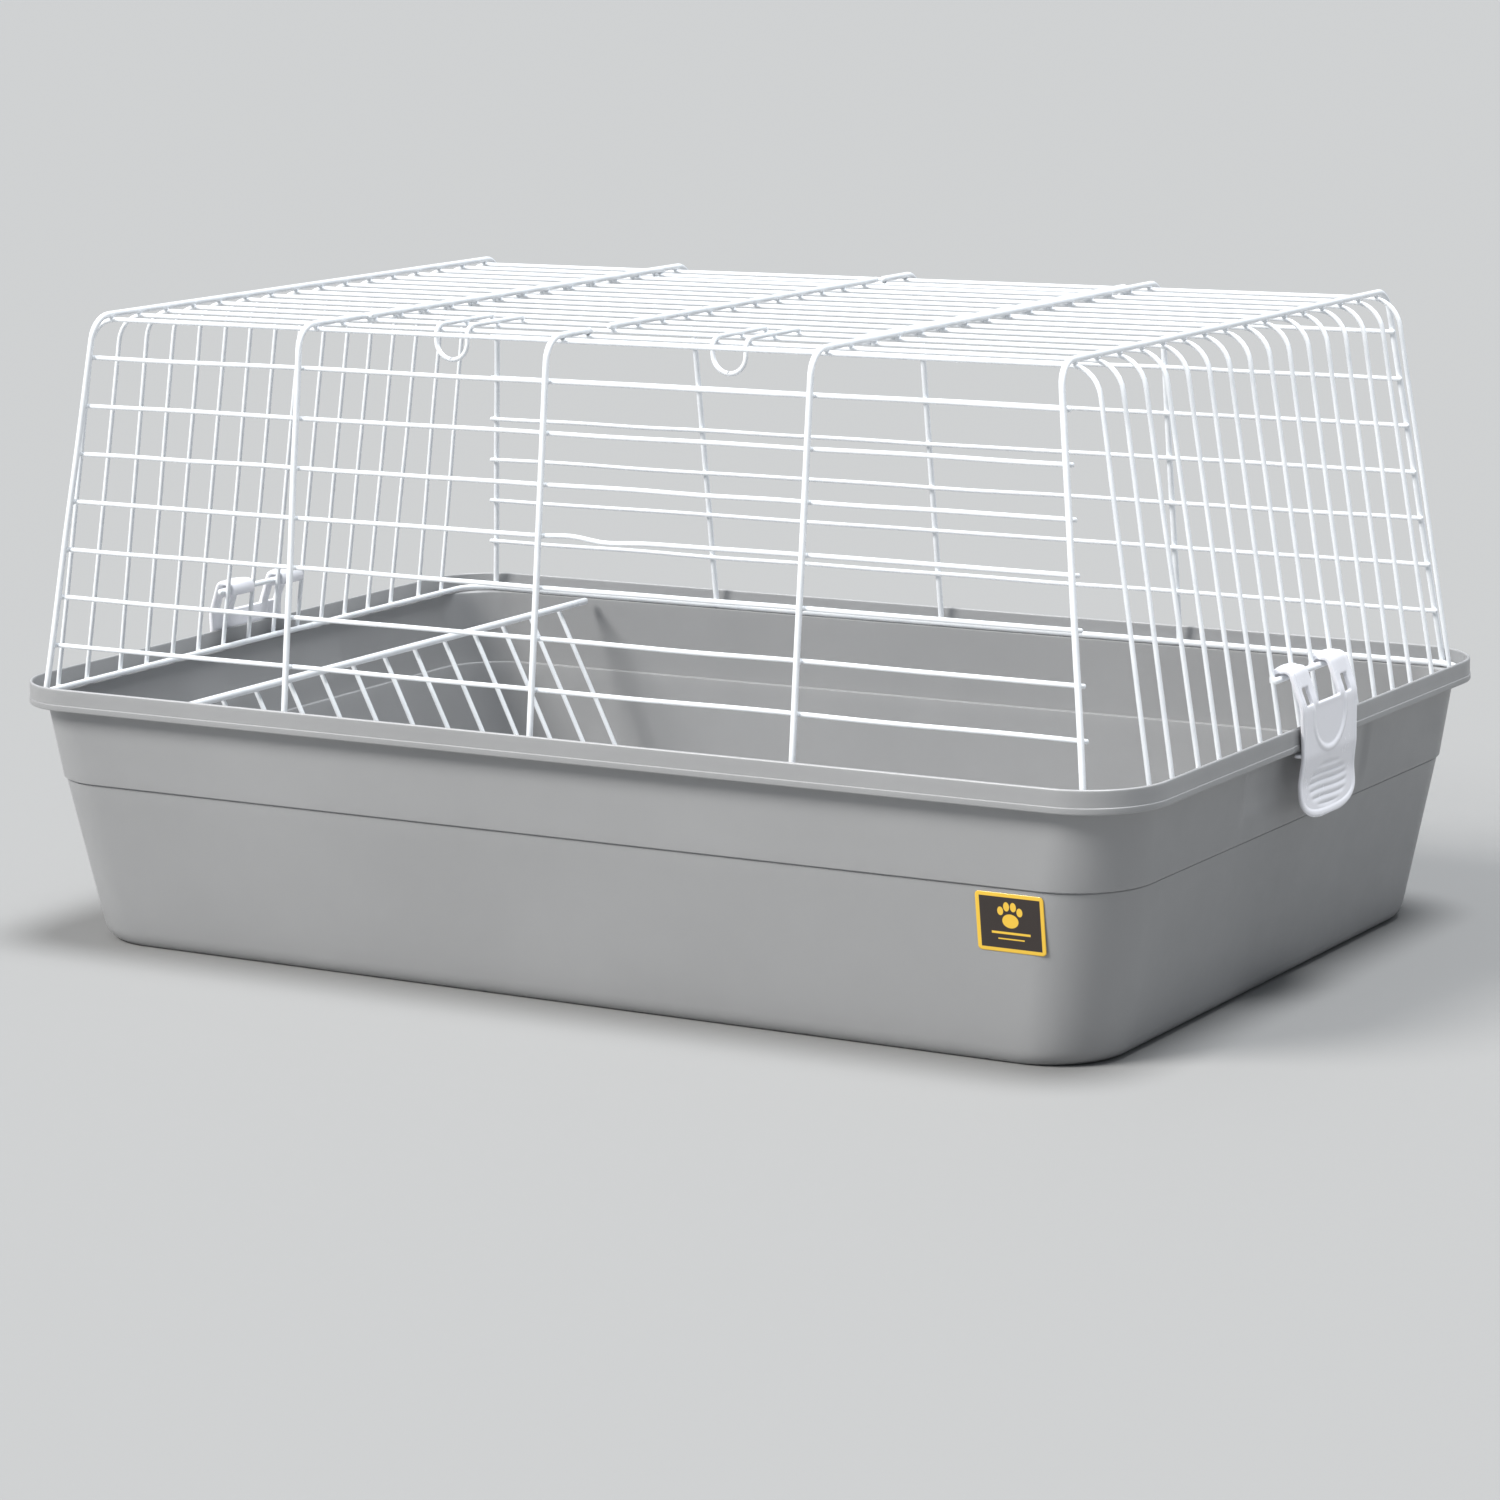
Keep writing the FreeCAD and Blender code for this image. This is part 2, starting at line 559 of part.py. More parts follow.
def make_label():
    """A thin rectangular label on the front of the lower wall."""
    label = doc.addObject("Part::Box", "label")
    label.Label = "label"
    for name, text in (("Length", "label_wide"), ("Width", "label_thick"), ("Height", "label_tall")):
        label.setExpression(name, bind(text))
    draft = "(step_half_wide - base_half_wide)/step_height"
    low = "(label_height - label_tall/2)"
    face = "(base_half_wide + %s*%s)" % (low, draft)
    place = {"x": "label_at - label_wide/2", "y": "-1*%s - label_thick*1.01 - weld_gap" % face, "z": low}
    angle = math.degrees(math.atan(value(draft)))
    label.Placement = FreeCAD.Placement(V(0, 0, 0), FreeCAD.Rotation(V(1, 0, 0), angle))
    for letter, text in place.items():
        label.setExpression("Placement.Base." + letter, bind(text))


# ---------------------------------------------------------------- the whole hutch
make_tub()
make_hoop("end_hoop_left", "-1*end_hoop_at", "end_hoop_splay")
make_hoop("bay_hoop_left", "-1*bay", "0")
make_half_hoop("middle_hoop_front", -1)
make_half_hoop("middle_hoop_rear", 1)
make_hoop("bay_hoop_right", "bay", "0")
make_hoop("end_hoop_right", "end_hoop_at", "-1*end_hoop_splay")
make_long_wire("top_wire_01", 0, "-1*corner_fan")
make_long_wire("top_wire_02", 1, "-1*next_fan")
for number in range(3, 15):
    make_cut_wire("top_wire_%02d" % number, number - 1)
make_long_wire("top_wire_15", 14, "next_fan")
make_long_wire("top_wire_16", 15, "corner_fan")
for number in range(1, 8):
    make_rail("front_rail_%d" % number, -1, number - 1)
    make_rail("rear_rail_%d" % number, 1, number - 1)
make_ring()
make_latch_bar("latch_bar_left", -1)
make_latch_bar("latch_bar_right", 1)
make_door_rod("door_rod_left", -1)
make_door_rod("door_rod_right", 1)
rod("door_rod_middle", "hoop_wire/2", "door_front + door_mid_back",
    ("0", "-1*door_front", ROD_HEIGHT), V(0, 1, 0))
make_door_wires()
make_catch_loop("catch_loop_left", "loop_left_at")
make_catch_loop("catch_loop_right", "loop_right_at")
make_latch("latch_left", -1)
make_latch("latch_right", 1)
make_rack()
make_label()

# ---------------------------------------------------------------- checks and files
doc.recompute()
failed = [thing for thing in doc.Objects if "Invalid" in thing.State or "Error" in thing.State]
if failed:
    raise RuntimeError("; ".join("%s: %s" % (thing.Name, thing.getStatusString()) for thing in failed))

os.makedirs("parts", exist_ok=True)
for thing in doc.Objects:
    is_part = thing.TypeId in ("PartDesign::Body", "Part::Cylinder", "Part::Box")
    if not is_part or thing.getParentGeoFeatureGroup():
        continue
    shape = thing.Shape
    if shape.isNull() or not shape.isValid():
        raise RuntimeError("%s has no valid shape" % thing.Label)
    shape.exportStep("parts/%s.step" % thing.Label)
    print("%-20s solids %2d  volume %9.0f" % (thing.Label, len(shape.Solids), shape.Volume))
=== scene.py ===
"""Looks of a wire-topped rabbit hutch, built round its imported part.

The part's own frame has X along the hutch, Y from the front to the back and Z up.  The room
is laid out in metres; the hutch's sizes are in millimetres until MM makes them metres.
Sections follow the hutch as it is put together.
"""
import math

import bpy
import numpy as np
from mathutils import Matrix


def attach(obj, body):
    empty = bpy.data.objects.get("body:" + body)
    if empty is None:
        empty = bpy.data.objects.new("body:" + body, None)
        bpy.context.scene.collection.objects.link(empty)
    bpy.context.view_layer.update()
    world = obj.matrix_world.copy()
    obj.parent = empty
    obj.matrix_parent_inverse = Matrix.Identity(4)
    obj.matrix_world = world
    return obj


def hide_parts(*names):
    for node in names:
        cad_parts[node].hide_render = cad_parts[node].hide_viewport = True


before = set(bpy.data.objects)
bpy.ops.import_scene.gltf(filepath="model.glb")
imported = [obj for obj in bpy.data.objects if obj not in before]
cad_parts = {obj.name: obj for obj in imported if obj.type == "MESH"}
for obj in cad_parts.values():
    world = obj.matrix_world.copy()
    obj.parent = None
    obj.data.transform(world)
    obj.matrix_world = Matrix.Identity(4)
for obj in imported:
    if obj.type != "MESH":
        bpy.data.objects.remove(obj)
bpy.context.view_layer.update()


# ---------------------------------------------------------------- the room
# A plain pale floor and soft light: a broad key from high on the front left, a broad light
# from overhead that reaches down inside the tub, and a pale sky that fills the shaded end.
def lamp(name, kind, spot, aim, power, tint):
    """A light of that kind at spot, turned to face aim."""
    data = bpy.data.lights.new(name, kind)
    data.energy = power
    data.color = tint
    thing = bpy.data.objects.new(name, data)
    bpy.context.scene.collection.objects.link(thing)
    away = np.array(spot, float) - np.array(aim, float)
    away /= np.linalg.norm(away)
    across = np.cross([0, 0, 1], away)
    across /= np.linalg.norm(across)
    turn = np.eye(4)
    turn[:3, :3] = np.stack([across, np.cross(away, across), away], axis=1)
    turn[:3, 3] = spot
    thing.matrix_world = Matrix(turn.tolist())
    return data


def new_material(name):
    """A plain material, given back with its nodes, its links and its shader."""
    material = bpy.data.materials.new(name)
    material.use_nodes = True
    nodes = material.node_tree.nodes
    return material, nodes, material.node_tree.links, nodes["Principled BSDF"]


key = lamp("key_light", "SUN", (-1.5, -2.2, 2.6), (0, 0, 0.2), 3.9, (1.0, 0.985, 0.96))
key.angle = math.radians(24)
overhead = lamp("overhead_light", "SUN", (0.4, 0.1, 3.2), (0, 0, 0.2), 3.9, (0.96, 0.98, 1.0))
overhead.angle = math.radians(22)
sky = bpy.data.worlds.new("pale_sky")
sky.use_nodes = True
sky.node_tree.nodes["Background"].inputs["Color"].default_value = (0.86, 0.92, 1.0, 1)
sky.node_tree.nodes["Background"].inputs["Strength"].default_value = 0.40
bpy.context.scene.world = sky
bpy.context.scene.view_settings.view_transform = "Standard"

FLOOR_HALF = 40.0
FLOOR_DROP = 0.0002
turns = ((-1, -1), (1, -1), (1, 1), (-1, 1))
floor_corners = [(x * FLOOR_HALF, y * FLOOR_HALF, -FLOOR_DROP) for x, y in turns]
floor_mesh = bpy.data.meshes.new("floor")
floor_mesh.from_pydata(floor_corners, [], [(0, 1, 2, 3)])
floor = bpy.data.objects.new("floor", floor_mesh)
bpy.context.scene.collection.objects.link(floor)
pale_floor, _, _, floor_shader = new_material("pale_floor")
floor_shader.inputs["Base Color"].default_value = (0.255, 0.255, 0.253, 1)
floor_shader.inputs["Roughness"].default_value = 0.8
floor_mesh.materials.append(pale_floor)


def aim_camera(azimuth, elevation, roll, target, distance, lens):
    """The camera looks at target from distance, along azimuth and elevation, leaning by roll.

    Its back is (sin(a) cos(e), -cos(a) cos(e), sin(e)), in metres and degrees.
    """
    a, e, r = math.radians(azimuth), math.radians(elevation), math.radians(roll)
    back = np.array([math.sin(a) * math.cos(e), -math.cos(a) * math.cos(e), math.sin(e)])
    level = np.cross([0, 0, 1], back)
    level /= np.linalg.norm(level)
    rise = np.cross(back, level)
    turn = np.eye(4)
    turn[:3, 0] = level * math.cos(r) + rise * math.sin(r)
    turn[:3, 1] = rise * math.cos(r) - level * math.sin(r)
    turn[:3, 2] = back
    turn[:3, 3] = np.array(target) + back * distance
    data = bpy.data.cameras.new("camera")
    data.lens = lens
    data.sensor_width = 36
    data.clip_end = 5 * FLOOR_HALF
    camera = bpy.data.objects.new("camera", data)
    bpy.context.scene.collection.objects.link(camera)
    camera.matrix_world = Matrix(turn.tolist())
    bpy.context.scene.camera = camera


aim_camera(31.209, 10.981, -0.931, (-0.00358, 0.00425, 0.11468), 3.0151, 110.94)


# ---------------------------------------------------------------- tub
# One injection moulding in warm grey plastic with a satin face: drafted walls, a
# small step, then a ledge that carries the wires inside an upstanding lip.
MM = 0.001


def route(points, radii, step):
    """Straight runs through points of any dimension, each corner turned on a circular arc.

    On the arc a place is centre + radius * (cos(t) * first + sin(t) * travel), with t from 0 to
    the angle turned; runs and arcs are cut into pieces no longer than step, and an arc into
    at least fewest, each turning about widest.
    """
    fewest, widest = 4, 0.2
    points = np.asarray(points, float)
    pieces = []
    start = points[0]
    for corner, before, after, radius in zip(points[1:-1], points[:-2], points[2:], radii):
        back = (before - corner) / np.linalg.norm(before - corner)
        ahead = (after - corner) / np.linalg.norm(after - corner)
        half = math.acos(np.clip(back @ ahead, -1, 1)) / 2
        leave = corner + back * radius / math.tan(half)
        middle = (back + ahead) / np.linalg.norm(back + ahead)
        centre = corner + middle * radius / math.sin(half)
        pieces.append(straight(start, leave, step))
        turned = math.pi - 2 * half
        count = max(fewest, int(radius * turned / step) + 1, int(turned / widest))
        t = np.linspace(0, turned, count, endpoint=False)[:, None]
        pieces.append(centre + np.cos(t) * (leave - centre) - radius * np.sin(t) * back)
        start = corner + ahead * radius / math.tan(half)
    pieces.append(straight(start, points[-1], step))
    return np.concatenate(pieces + [points[-1:]])


def straight(start, stop, step):
    """Points from start towards stop, without stop, no further apart than step."""
    count = max(1, int(np.ceil(np.linalg.norm(stop - start) / step)))
    return start + (stop - start) * np.linspace(0, 1, count, endpoint=False)[:, None]


def rounded_plan(half_long, half_wide, corner, long_cuts, wide_cuts, corner_cuts):
    """Rings of a rounded rectangle, anticlockwise from above, one for each row of the three sizes.

    A corner is its centre plus corner * (cos(a), sin(a)); the sides run straight between corners.
    """
    bends = []
    for quarter, (sx, sy) in enumerate(((1, 1), (-1, 1), (-1, -1), (1, -1))):
        a = math.pi / 2 * (quarter + np.linspace(0, 1, corner_cuts + 1))
        x = sx * (half_long - corner)[:, None] + corner[:, None] * np.cos(a)
        y = sy * (half_wide - corner)[:, None] + corner[:, None] * np.sin(a)
        bends.append(np.stack([x, y], axis=2))
    parts = []
    for quarter, bend in enumerate(bends):
        following = bends[(quarter + 1) % 4]
        cuts = long_cuts if quarter % 2 == 0 else wide_cuts
        t = np.linspace(0, 1, cuts, endpoint=False)[1:, None]
        side = bend[:, -1:, :] + (following[:, :1, :] - bend[:, -1:, :]) * t
        parts += [bend, side]
    return np.concatenate(parts, axis=1)


def shell_faces(rings, around):
    """Quads between closed rings, and a fan round each pole; the poles are the last two points."""
    i = np.arange(rings - 1)[:, None] * around
    j = np.arange(around)
    k = (j + 1) % around
    quads = np.stack([i + j, i + k, i + around + k, i + around + j], axis=2).reshape(-1, 4)
    last = (rings - 1) * around
    first_fan = np.stack([np.full(around, rings * around), k, j], axis=1)
    last_fan = np.stack([np.full(around, rings * around + 1), last + j, last + k], axis=1)
    return quads, np.concatenate([first_fan, last_fan])


def make_piece(name, points, quads, triangles, material, body, finish, stands_for):
    """A smooth mesh from arrays, riding on a body and standing for CAD nodes."""
    mesh = bpy.data.meshes.new(name)
    points = np.asarray(points, float).reshape(-1, 3)
    corners = np.concatenate([np.ravel(quads), np.ravel(triangles)]).astype(np.int32)
    sizes = np.repeat([4, 3], [len(quads), len(triangles)]).astype(np.int32)
    starts = np.concatenate([[0], np.cumsum(sizes)[:-1]]).astype(np.int32)
    mesh.vertices.add(len(points))
    mesh.vertices.foreach_set("co", points.astype(np.float32).ravel())
    mesh.loops.add(len(corners))
    mesh.loops.foreach_set("vertex_index", corners)
    mesh.polygons.add(len(sizes))
    mesh.polygons.foreach_set("loop_start", starts)
    mesh.polygons.foreach_set("use_smooth", np.ones(len(sizes), bool))
    mesh.update(calc_edges=True)
    mesh.validate()
    mesh.materials.append(material)
    piece = bpy.data.objects.new(name, mesh)
    bpy.context.scene.collection.objects.link(piece)
    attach(piece, body)
    if stands_for:
        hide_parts(*stands_for)
    return piece


def smooth_box(value, low, high, edge):
    """1 between low and high, 0 outside, eased over edge about each limit by t * t * (3 - 2t)."""
    up = np.clip((value - low) / edge + 0.5, 0, 1)
    down = np.clip((high - value) / edge + 0.5, 0, 1)
    both = np.minimum(up, down)
    return both * both * (3 - 2 * both)


def satin_plastic(name, colour, grain_size, roughness):
    """Moulded plastic: a fine eroded grain, slight mottling and a few dull handling marks."""
    material, nodes, links, shader = new_material(name)
    place = nodes.new("ShaderNodeTexCoord")
    grain = nodes.new("ShaderNodeTexNoise")
    grain.inputs["Scale"].default_value = 1 / grain_size
    grain.inputs["Detail"].default_value = 3
    mottle = nodes.new("ShaderNodeTexNoise")
    mottle.inputs["Scale"].default_value = 7
    mottle.inputs["Detail"].default_value = 6
    marks = nodes.new("ShaderNodeTexNoise")
    marks.inputs["Scale"].default_value = 26
    marks.inputs["Detail"].default_value = 8
    marks.inputs["Roughness"].default_value = 0.7
    for texture in (grain, mottle, marks):
        links.new(place.outputs["Object"], texture.inputs["Vector"])
    tone = nodes.new("ShaderNodeValToRGB")
    tone.color_ramp.elements[0].position = 0.3
    tone.color_ramp.elements[0].color = tuple(0.955 * c for c in colour) + (1,)
    tone.color_ramp.elements[1].position = 0.7
    tone.color_ramp.elements[1].color = tuple(1.03 * c for c in colour) + (1,)
    links.new(mottle.outputs["Fac"], tone.inputs["Fac"])
    links.new(tone.outputs["Color"], shader.inputs["Base Color"])
    sheen = nodes.new("ShaderNodeMapRange")
    sheen.inputs["From Min"].default_value = 0.35
    sheen.inputs["From Max"].default_value = 0.7
    sheen.inputs["To Min"].default_value = roughness - 0.05
    sheen.inputs["To Max"].default_value = roughness + 0.09
    links.new(marks.outputs["Fac"], sheen.inputs["Value"])
    links.new(sheen.outputs["Result"], shader.inputs["Roughness"])
    bump = nodes.new("ShaderNodeBump")
    bump.inputs["Strength"].default_value = 0.12
    bump.inputs["Distance"].default_value = 0.0002
    links.new(grain.outputs["Fac"], bump.inputs["Height"])
    links.new(bump.outputs["Normal"], shader.inputs["Normal"])
    return material, shader


TUB_FLOOR = 3.0


def tub_profile():
    """The closed wall section as rows of half length, half width, corner radius and height.

    It is routed in (half length, height, width - length, corner - length), where an inset moves
    only the first number, so an edge that is rounded there is round on the tub.
    """
    rows = [  # half long, half wide, corner, height, radius of the edge there
        (0, 0, 0, 0, 0),
        (369, 240, 46, 0, 14),
        (388.8, 252.9, 47.9, 106.4, 0.3),
        (388.0, 252.1, 47.1, 107.3, 0.3),
        (390.5, 254.5, 49.5, 107.9, 0.5),
        (396.5, 257, 44, 156.5, 1.0),
        (406.5, 267, 50, 156.5, 0.9),
        (406.5, 267, 50, 160.3, 0.25),
        (406.0, 266.5, 49.5, 160.6, 0.15),
        (406.0, 266.5, 49.5, 171, 1.0),
        (403.9, 264.4, 47.4, 171, 0.9),
        (403.9, 264.4, 47.4, 159.1, 1.0),
        (393.9, 254.4, 41.4, 159.1, 1.6),
        (387.8, 251.8, 46.8, 108.1, 0.5),
        (386.4, 250.4, 45.4, 107.5, 0.3),
        (367.0, 237.8, 43.5, TUB_FLOOR, 11),
        (0, 0, 0, TUB_FLOOR, 0)]
    half_long, half_wide, corner, height, edge = np.array(rows, float).T
    section = np.stack([half_long, height, half_wide - half_long, corner - half_long], axis=1)
    step = 9.0
    half_long, height, wider, rounder = route(section, edge[1:-1], step).T
    return half_long, half_long + wider, half_long + rounder, height


def make_tub(material):
    """Rings of the rounded plan carried up the outside of the section and down its inside.

    The hand grip and the latch's seat in the lip are pressed into each end by
    depth * smooth_box(y) * smooth_box(z).  On the flat floor only every sixth ring is kept.
    """
    flat_floor, least = 350, 1
    section = np.stack(tub_profile())
    sixth = np.arange(section.shape[1]) % 6 == 3
    section = section[:, (section[0] > flat_floor) | (sixth & (section[0] > least))]
    half_long, half_wide, corner, height = section
    long_cuts, wide_cuts, corner_cuts = 48, 110, 22
    plan = rounded_plan(half_long, half_wide, corner, long_cuts, wide_cuts, corner_cuts)
    level = np.broadcast_to(height[:, None, None], plan.shape[:2] + (1,))
    rings = np.concatenate([plan, level], axis=2)
    outside = np.arange(len(height)) < np.argmax(height)
    x, y, z = rings[..., 0], rings[..., 1], rings[..., 2]
    end_wall, grip_half, seat_half = 385, 88, 46.5
    grip_depth, grip_low, grip_high = 1.8, 121, 155
    seat_depth, seat_low, seat_high = 0.7, 155, 172
    ends = outside[:, None] * (np.abs(x) > end_wall)
    grip = smooth_box(y, -grip_half, grip_half, 5) * smooth_box(z, grip_low, grip_high, 4)
    seat = smooth_box(y, -seat_half, seat_half, 1.5) * smooth_box(z, seat_low, seat_high, 1)
    rings[..., 0] = x - np.sign(x) * (grip_depth * grip + seat_depth * seat) * ends
    poles = np.array([[0, 0, 0], [0, 0, TUB_FLOOR]])
    points = np.concatenate([rings.reshape(-1, 3), poles]) * MM
    quads, triangles = shell_faces(rings.shape[0], rings.shape[1])
    make_piece("tub_moulding", points, quads, triangles, material, "hutch", "tub_plastic", ["tub"])


grey_plastic, tub_shader = satin_plastic("warm_grey_plastic", (0.318, 0.320, 0.324), 0.0006, 0.36)
tub_shader.inputs["Subsurface Weight"].default_value = 0.35
tub_shader.inputs["Subsurface Radius"].default_value = (1, 1, 1)
tub_shader.inputs["Subsurface Scale"].default_value = 0.004
make_tub(grey_plastic)


# ---------------------------------------------------------------- hoops
# Five hoops of 4 mm steel wire hold the top together: one at each end, one at each bay
# line, and one in the middle, of which the door opening leaves the front and rear ends.
def white_coat():
    """Powder coat on wire: a bright, slightly blue white with orange peel and duller patches."""
    material, nodes, links, shader = new_material("white_powder_coat")
    place = nodes.new("ShaderNodeTexCoord")
    peel = nodes.new("ShaderNodeTexNoise")
    peel.inputs["Scale"].default_value = 900
    peel.inputs["Detail"].default_value = 2
    patch = nodes.new("ShaderNodeTexNoise")
    patch.inputs["Scale"].default_value = 60
    patch.inputs["Detail"].default_value = 5
    links.new(place.outputs["Object"], peel.inputs["Vector"])
    links.new(place.outputs["Object"], patch.inputs["Vector"])
    tone = nodes.new("ShaderNodeValToRGB")
    tone.color_ramp.elements[0].position = 0.25
    tone.color_ramp.elements[0].color = (0.80, 0.83, 0.86, 1)
    tone.color_ramp.elements[1].position = 0.75
    tone.color_ramp.elements[1].color = (0.90, 0.92, 0.94, 1)
    links.new(patch.outputs["Fac"], tone.inputs["Fac"])
    links.new(tone.outputs["Color"], shader.inputs["Base Color"])
    dull = nodes.new("ShaderNodeMapRange")
    dull.inputs["To Min"].default_value = 0.2
    dull.inputs["To Max"].default_value = 0.42
    links.new(patch.outputs["Fac"], dull.inputs["Value"])
    links.new(dull.outputs["Result"], shader.inputs["Roughness"])
    bump = nodes.new("ShaderNodeBump")
    bump.inputs["Strength"].default_value = 0.2
    bump.inputs["Distance"].default_value = 0.0002
    links.new(peel.outputs["Fac"], bump.inputs["Height"])
    links.new(bump.outputs["Normal"], shader.inputs["Normal"])
    shader.inputs["Coat Weight"].default_value = 0.35
    shader.inputs["Coat Roughness"].default_value = 0.15
    return material


def wire_rings(path, thickness, lean, sides=12):
    """A round wire carried along a path, with domed ends.

    A place is path + radius * (cos(t) * n + sin(t) * b), where n is lean with its part along the
    path taken away, and b is square to both.  At each end the radius falls as the cosine, and the
    wire runs on by 0.6 of the sine, of an angle from 0 towards a right angle.
    """
    along = np.gradient(path, axis=0)
    along /= np.linalg.norm(along, axis=1)[:, None]
    radius = thickness / 2
    dome = np.radians([22, 44, 66])
    ends = radius * 0.6 * np.sin(dome)[:, None]
    full = np.concatenate([(path[0] - along[0] * ends)[::-1], path, path[-1] + along[-1] * ends])
    along = np.concatenate([along[:1].repeat(3, 0), along, along[-1:].repeat(3, 0)])
    size = radius * np.concatenate([np.cos(dome)[::-1], np.ones(len(path)), np.cos(dome)])
    lean = np.asarray(lean, float)
    n = lean - (along @ lean)[:, None] * along
    n /= np.linalg.norm(n, axis=1)[:, None]
    b = np.cross(along, n)
    t = 2 * math.pi * np.arange(sides) / sides
    ring = np.cos(t)[None, :, None] * n[:, None, :] + np.sin(t)[None, :, None] * b[:, None, :]
    rings = full[:, None, :] + size[:, None, None] * ring
    tips = np.stack([path[0] - along[0] * radius * 0.6, path[-1] + along[-1] * radius * 0.6])
    return rings, tips


def make_wires(name, paths, thickness, lean, body, stands_for, sides=12):
    """One piece of coated wires, each a path in millimetres."""
    shells = []
    for path in paths:
        rings, tips = wire_rings(path, thickness, lean, sides)
        points = np.concatenate([rings.reshape(-1, 3), tips])
        shells.append((points, *shell_faces(len(rings), sides)))
    make_coated(name, shells, body, stands_for)


def make_coated(name, shells, body, stands_for):
    """One piece in the white coat from closed shells, each its points, quads and triangles."""
    points, quads, triangles = [], [], []
    count = 0
    for shell_points, shell_quads, shell_triangles in shells:
        points.append(shell_points)
        quads.append(shell_quads + count)
        triangles.append(shell_triangles + count)
        count += len(shell_points)
    points, quads, triangles = (np.concatenate(part) for part in (points, quads, triangles))
    make_piece(name, points * MM, quads, triangles, coat, body, "white_wire", stands_for)


def uneven(path, across, size, seed):
    """Wire is never quite straight: the path, pushed along across by three slow seeded sines."""
    draw = np.random.default_rng(seed)
    phases = draw.uniform(0, 2 * math.pi, 3)
    waves = draw.uniform(90, 320, 3)
    run = np.concatenate([[0], np.cumsum(np.linalg.norm(np.diff(path, axis=0), axis=1))])
    push = np.sin(2 * math.pi * run[:, None] / waves + phases).sum(axis=1) * size / 3
    return path + push[:, None] * np.asarray(across, float)


coat = white_coat()
HOOP_TOP, HOOP_TOP_HALF, HOOP_FOOT_HALF, HOOP_BEND, WIRE_FOOT = 406.5, 228.0, 258.8, 16, 159.5
HOOP_WIRE, THIN_WIRE, HOOP_SIDES, WIRE_STEP = 4.0, 3.0, 16, 7
BAY, END_HOOP, SPLAY, STUB_END = 183.3, 344.6, math.tan(math.radians(6.84)), 181.0
ALONG, ACROSS, UP = (1, 0, 0), (0, 1, 0), (0, 0, 1)
WHOLE_HOOPS = (("end_hoop_left", -END_HOOP, -SPLAY), ("bay_hoop_left", -BAY, 0),
               ("bay_hoop_right", BAY, 0), ("end_hoop_right", END_HOOP, SPLAY))
for number, (node, at, splay) in enumerate(WHOLE_HOOPS):
    foot = at + splay * (HOOP_TOP - WIRE_FOOT)
    corners = [(foot, -HOOP_FOOT_HALF, WIRE_FOOT), (at, -HOOP_TOP_HALF, HOOP_TOP),
               (at, HOOP_TOP_HALF, HOOP_TOP), (foot, HOOP_FOOT_HALF, WIRE_FOOT)]
    path = uneven(route(corners, [HOOP_BEND] * 2, WIRE_STEP), ALONG, 0.25, 10 + number)
    make_wires(node + "_wire", [path], HOOP_WIRE, ALONG, "hutch", [node], HOOP_SIDES)
for node, side in (("middle_hoop_front", -1), ("middle_hoop_rear", 1)):
    corners = [(0, side * STUB_END, HOOP_TOP), (0, side * HOOP_TOP_HALF, HOOP_TOP),
               (0, side * HOOP_FOOT_HALF, WIRE_FOOT)]
    path = route(corners, [HOOP_BEND], WIRE_STEP)
    make_wires(node + "_wire", [path], HOOP_WIRE, ALONG, "hutch", [node], HOOP_SIDES)


# ---------------------------------------------------------------- long wires
# Sixteen 3 mm wires run the length of the top and down both ends.  The middle twelve
# are cut by the door opening, so each of those is a matching pair.
LONG_TOP, END_TOP_HALF, END_FOOT_HALF, PITCH = 403.0, 358.8, 396.3, 28.14
CUT_END, END_BEND = 182.3, 20
FANS = {0: -1.8, 1: -1.55, 14: 1.55, 15: 1.8}
for number in range(16):
    y = (number - 7.5) * PITCH
    foot_y = y + math.tan(math.radians(FANS.get(number, 0))) * (LONG_TOP - WIRE_FOOT)
    right_end = [(END_TOP_HALF, y, LONG_TOP), (END_FOOT_HALF, foot_y, WIRE_FOOT)]
    if number in FANS:
        left_end = [(-END_FOOT_HALF, foot_y, WIRE_FOOT), (-END_TOP_HALF, y, LONG_TOP)]
        paths = [route(left_end + right_end, [END_BEND] * 2, WIRE_STEP)]
    else:
        half = route([(CUT_END, y, LONG_TOP)] + right_end, [END_BEND], WIRE_STEP)
        paths = [half, half * (-1, 1, 1)]
    paths = [uneven(p, ACROSS, 0.3, 40 + number + 20 * k) for k, p in enumerate(paths)]
    node = "top_wire_%02d" % (number + 1)
    make_wires(node + "_wire", paths, THIN_WIRE, ACROSS, "hutch", [node])


# ---------------------------------------------------------------- rails
# Seven straight 3 mm wires along the front and seven along the back, resistance welded
# inside the hoop legs, with their cut ends left a little proud of the end hoops.
RAIL_HIGH, RAIL_PITCH, RAIL_OVERRUN, WELD_GAP = 380.2, 30.62, 2.3, 0.05
LEG_LEAN = (HOOP_FOOT_HALF - HOOP_TOP_HALF) / (HOOP_TOP - WIRE_FOOT)
RAIL_INSET = (HOOP_WIRE / 2 + THIN_WIRE / 2 + WELD_GAP) * 1.008


def leg_reach(height):
    """How far a hoop leg's middle stands from the hutch's middle plane at a height."""
    return HOOP_TOP_HALF + (HOOP_TOP - height) * LEG_LEAN


def knocked(path, at, width, size):
    """The path with a kink at that place along the hutch.

    With t the distance from the place over width, it falls by 2.3 * size * t * exp(-t * t) and
    moves to the front by 0.5 * size * exp(-t * t).
    """
    t = (path[:, 0] - at) / width
    bent = path.copy()
    bent[:, 2] -= size * 2.3 * t * np.exp(-t * t)
    bent[:, 1] -= size * 0.5 * np.exp(-t * t)
    return bent


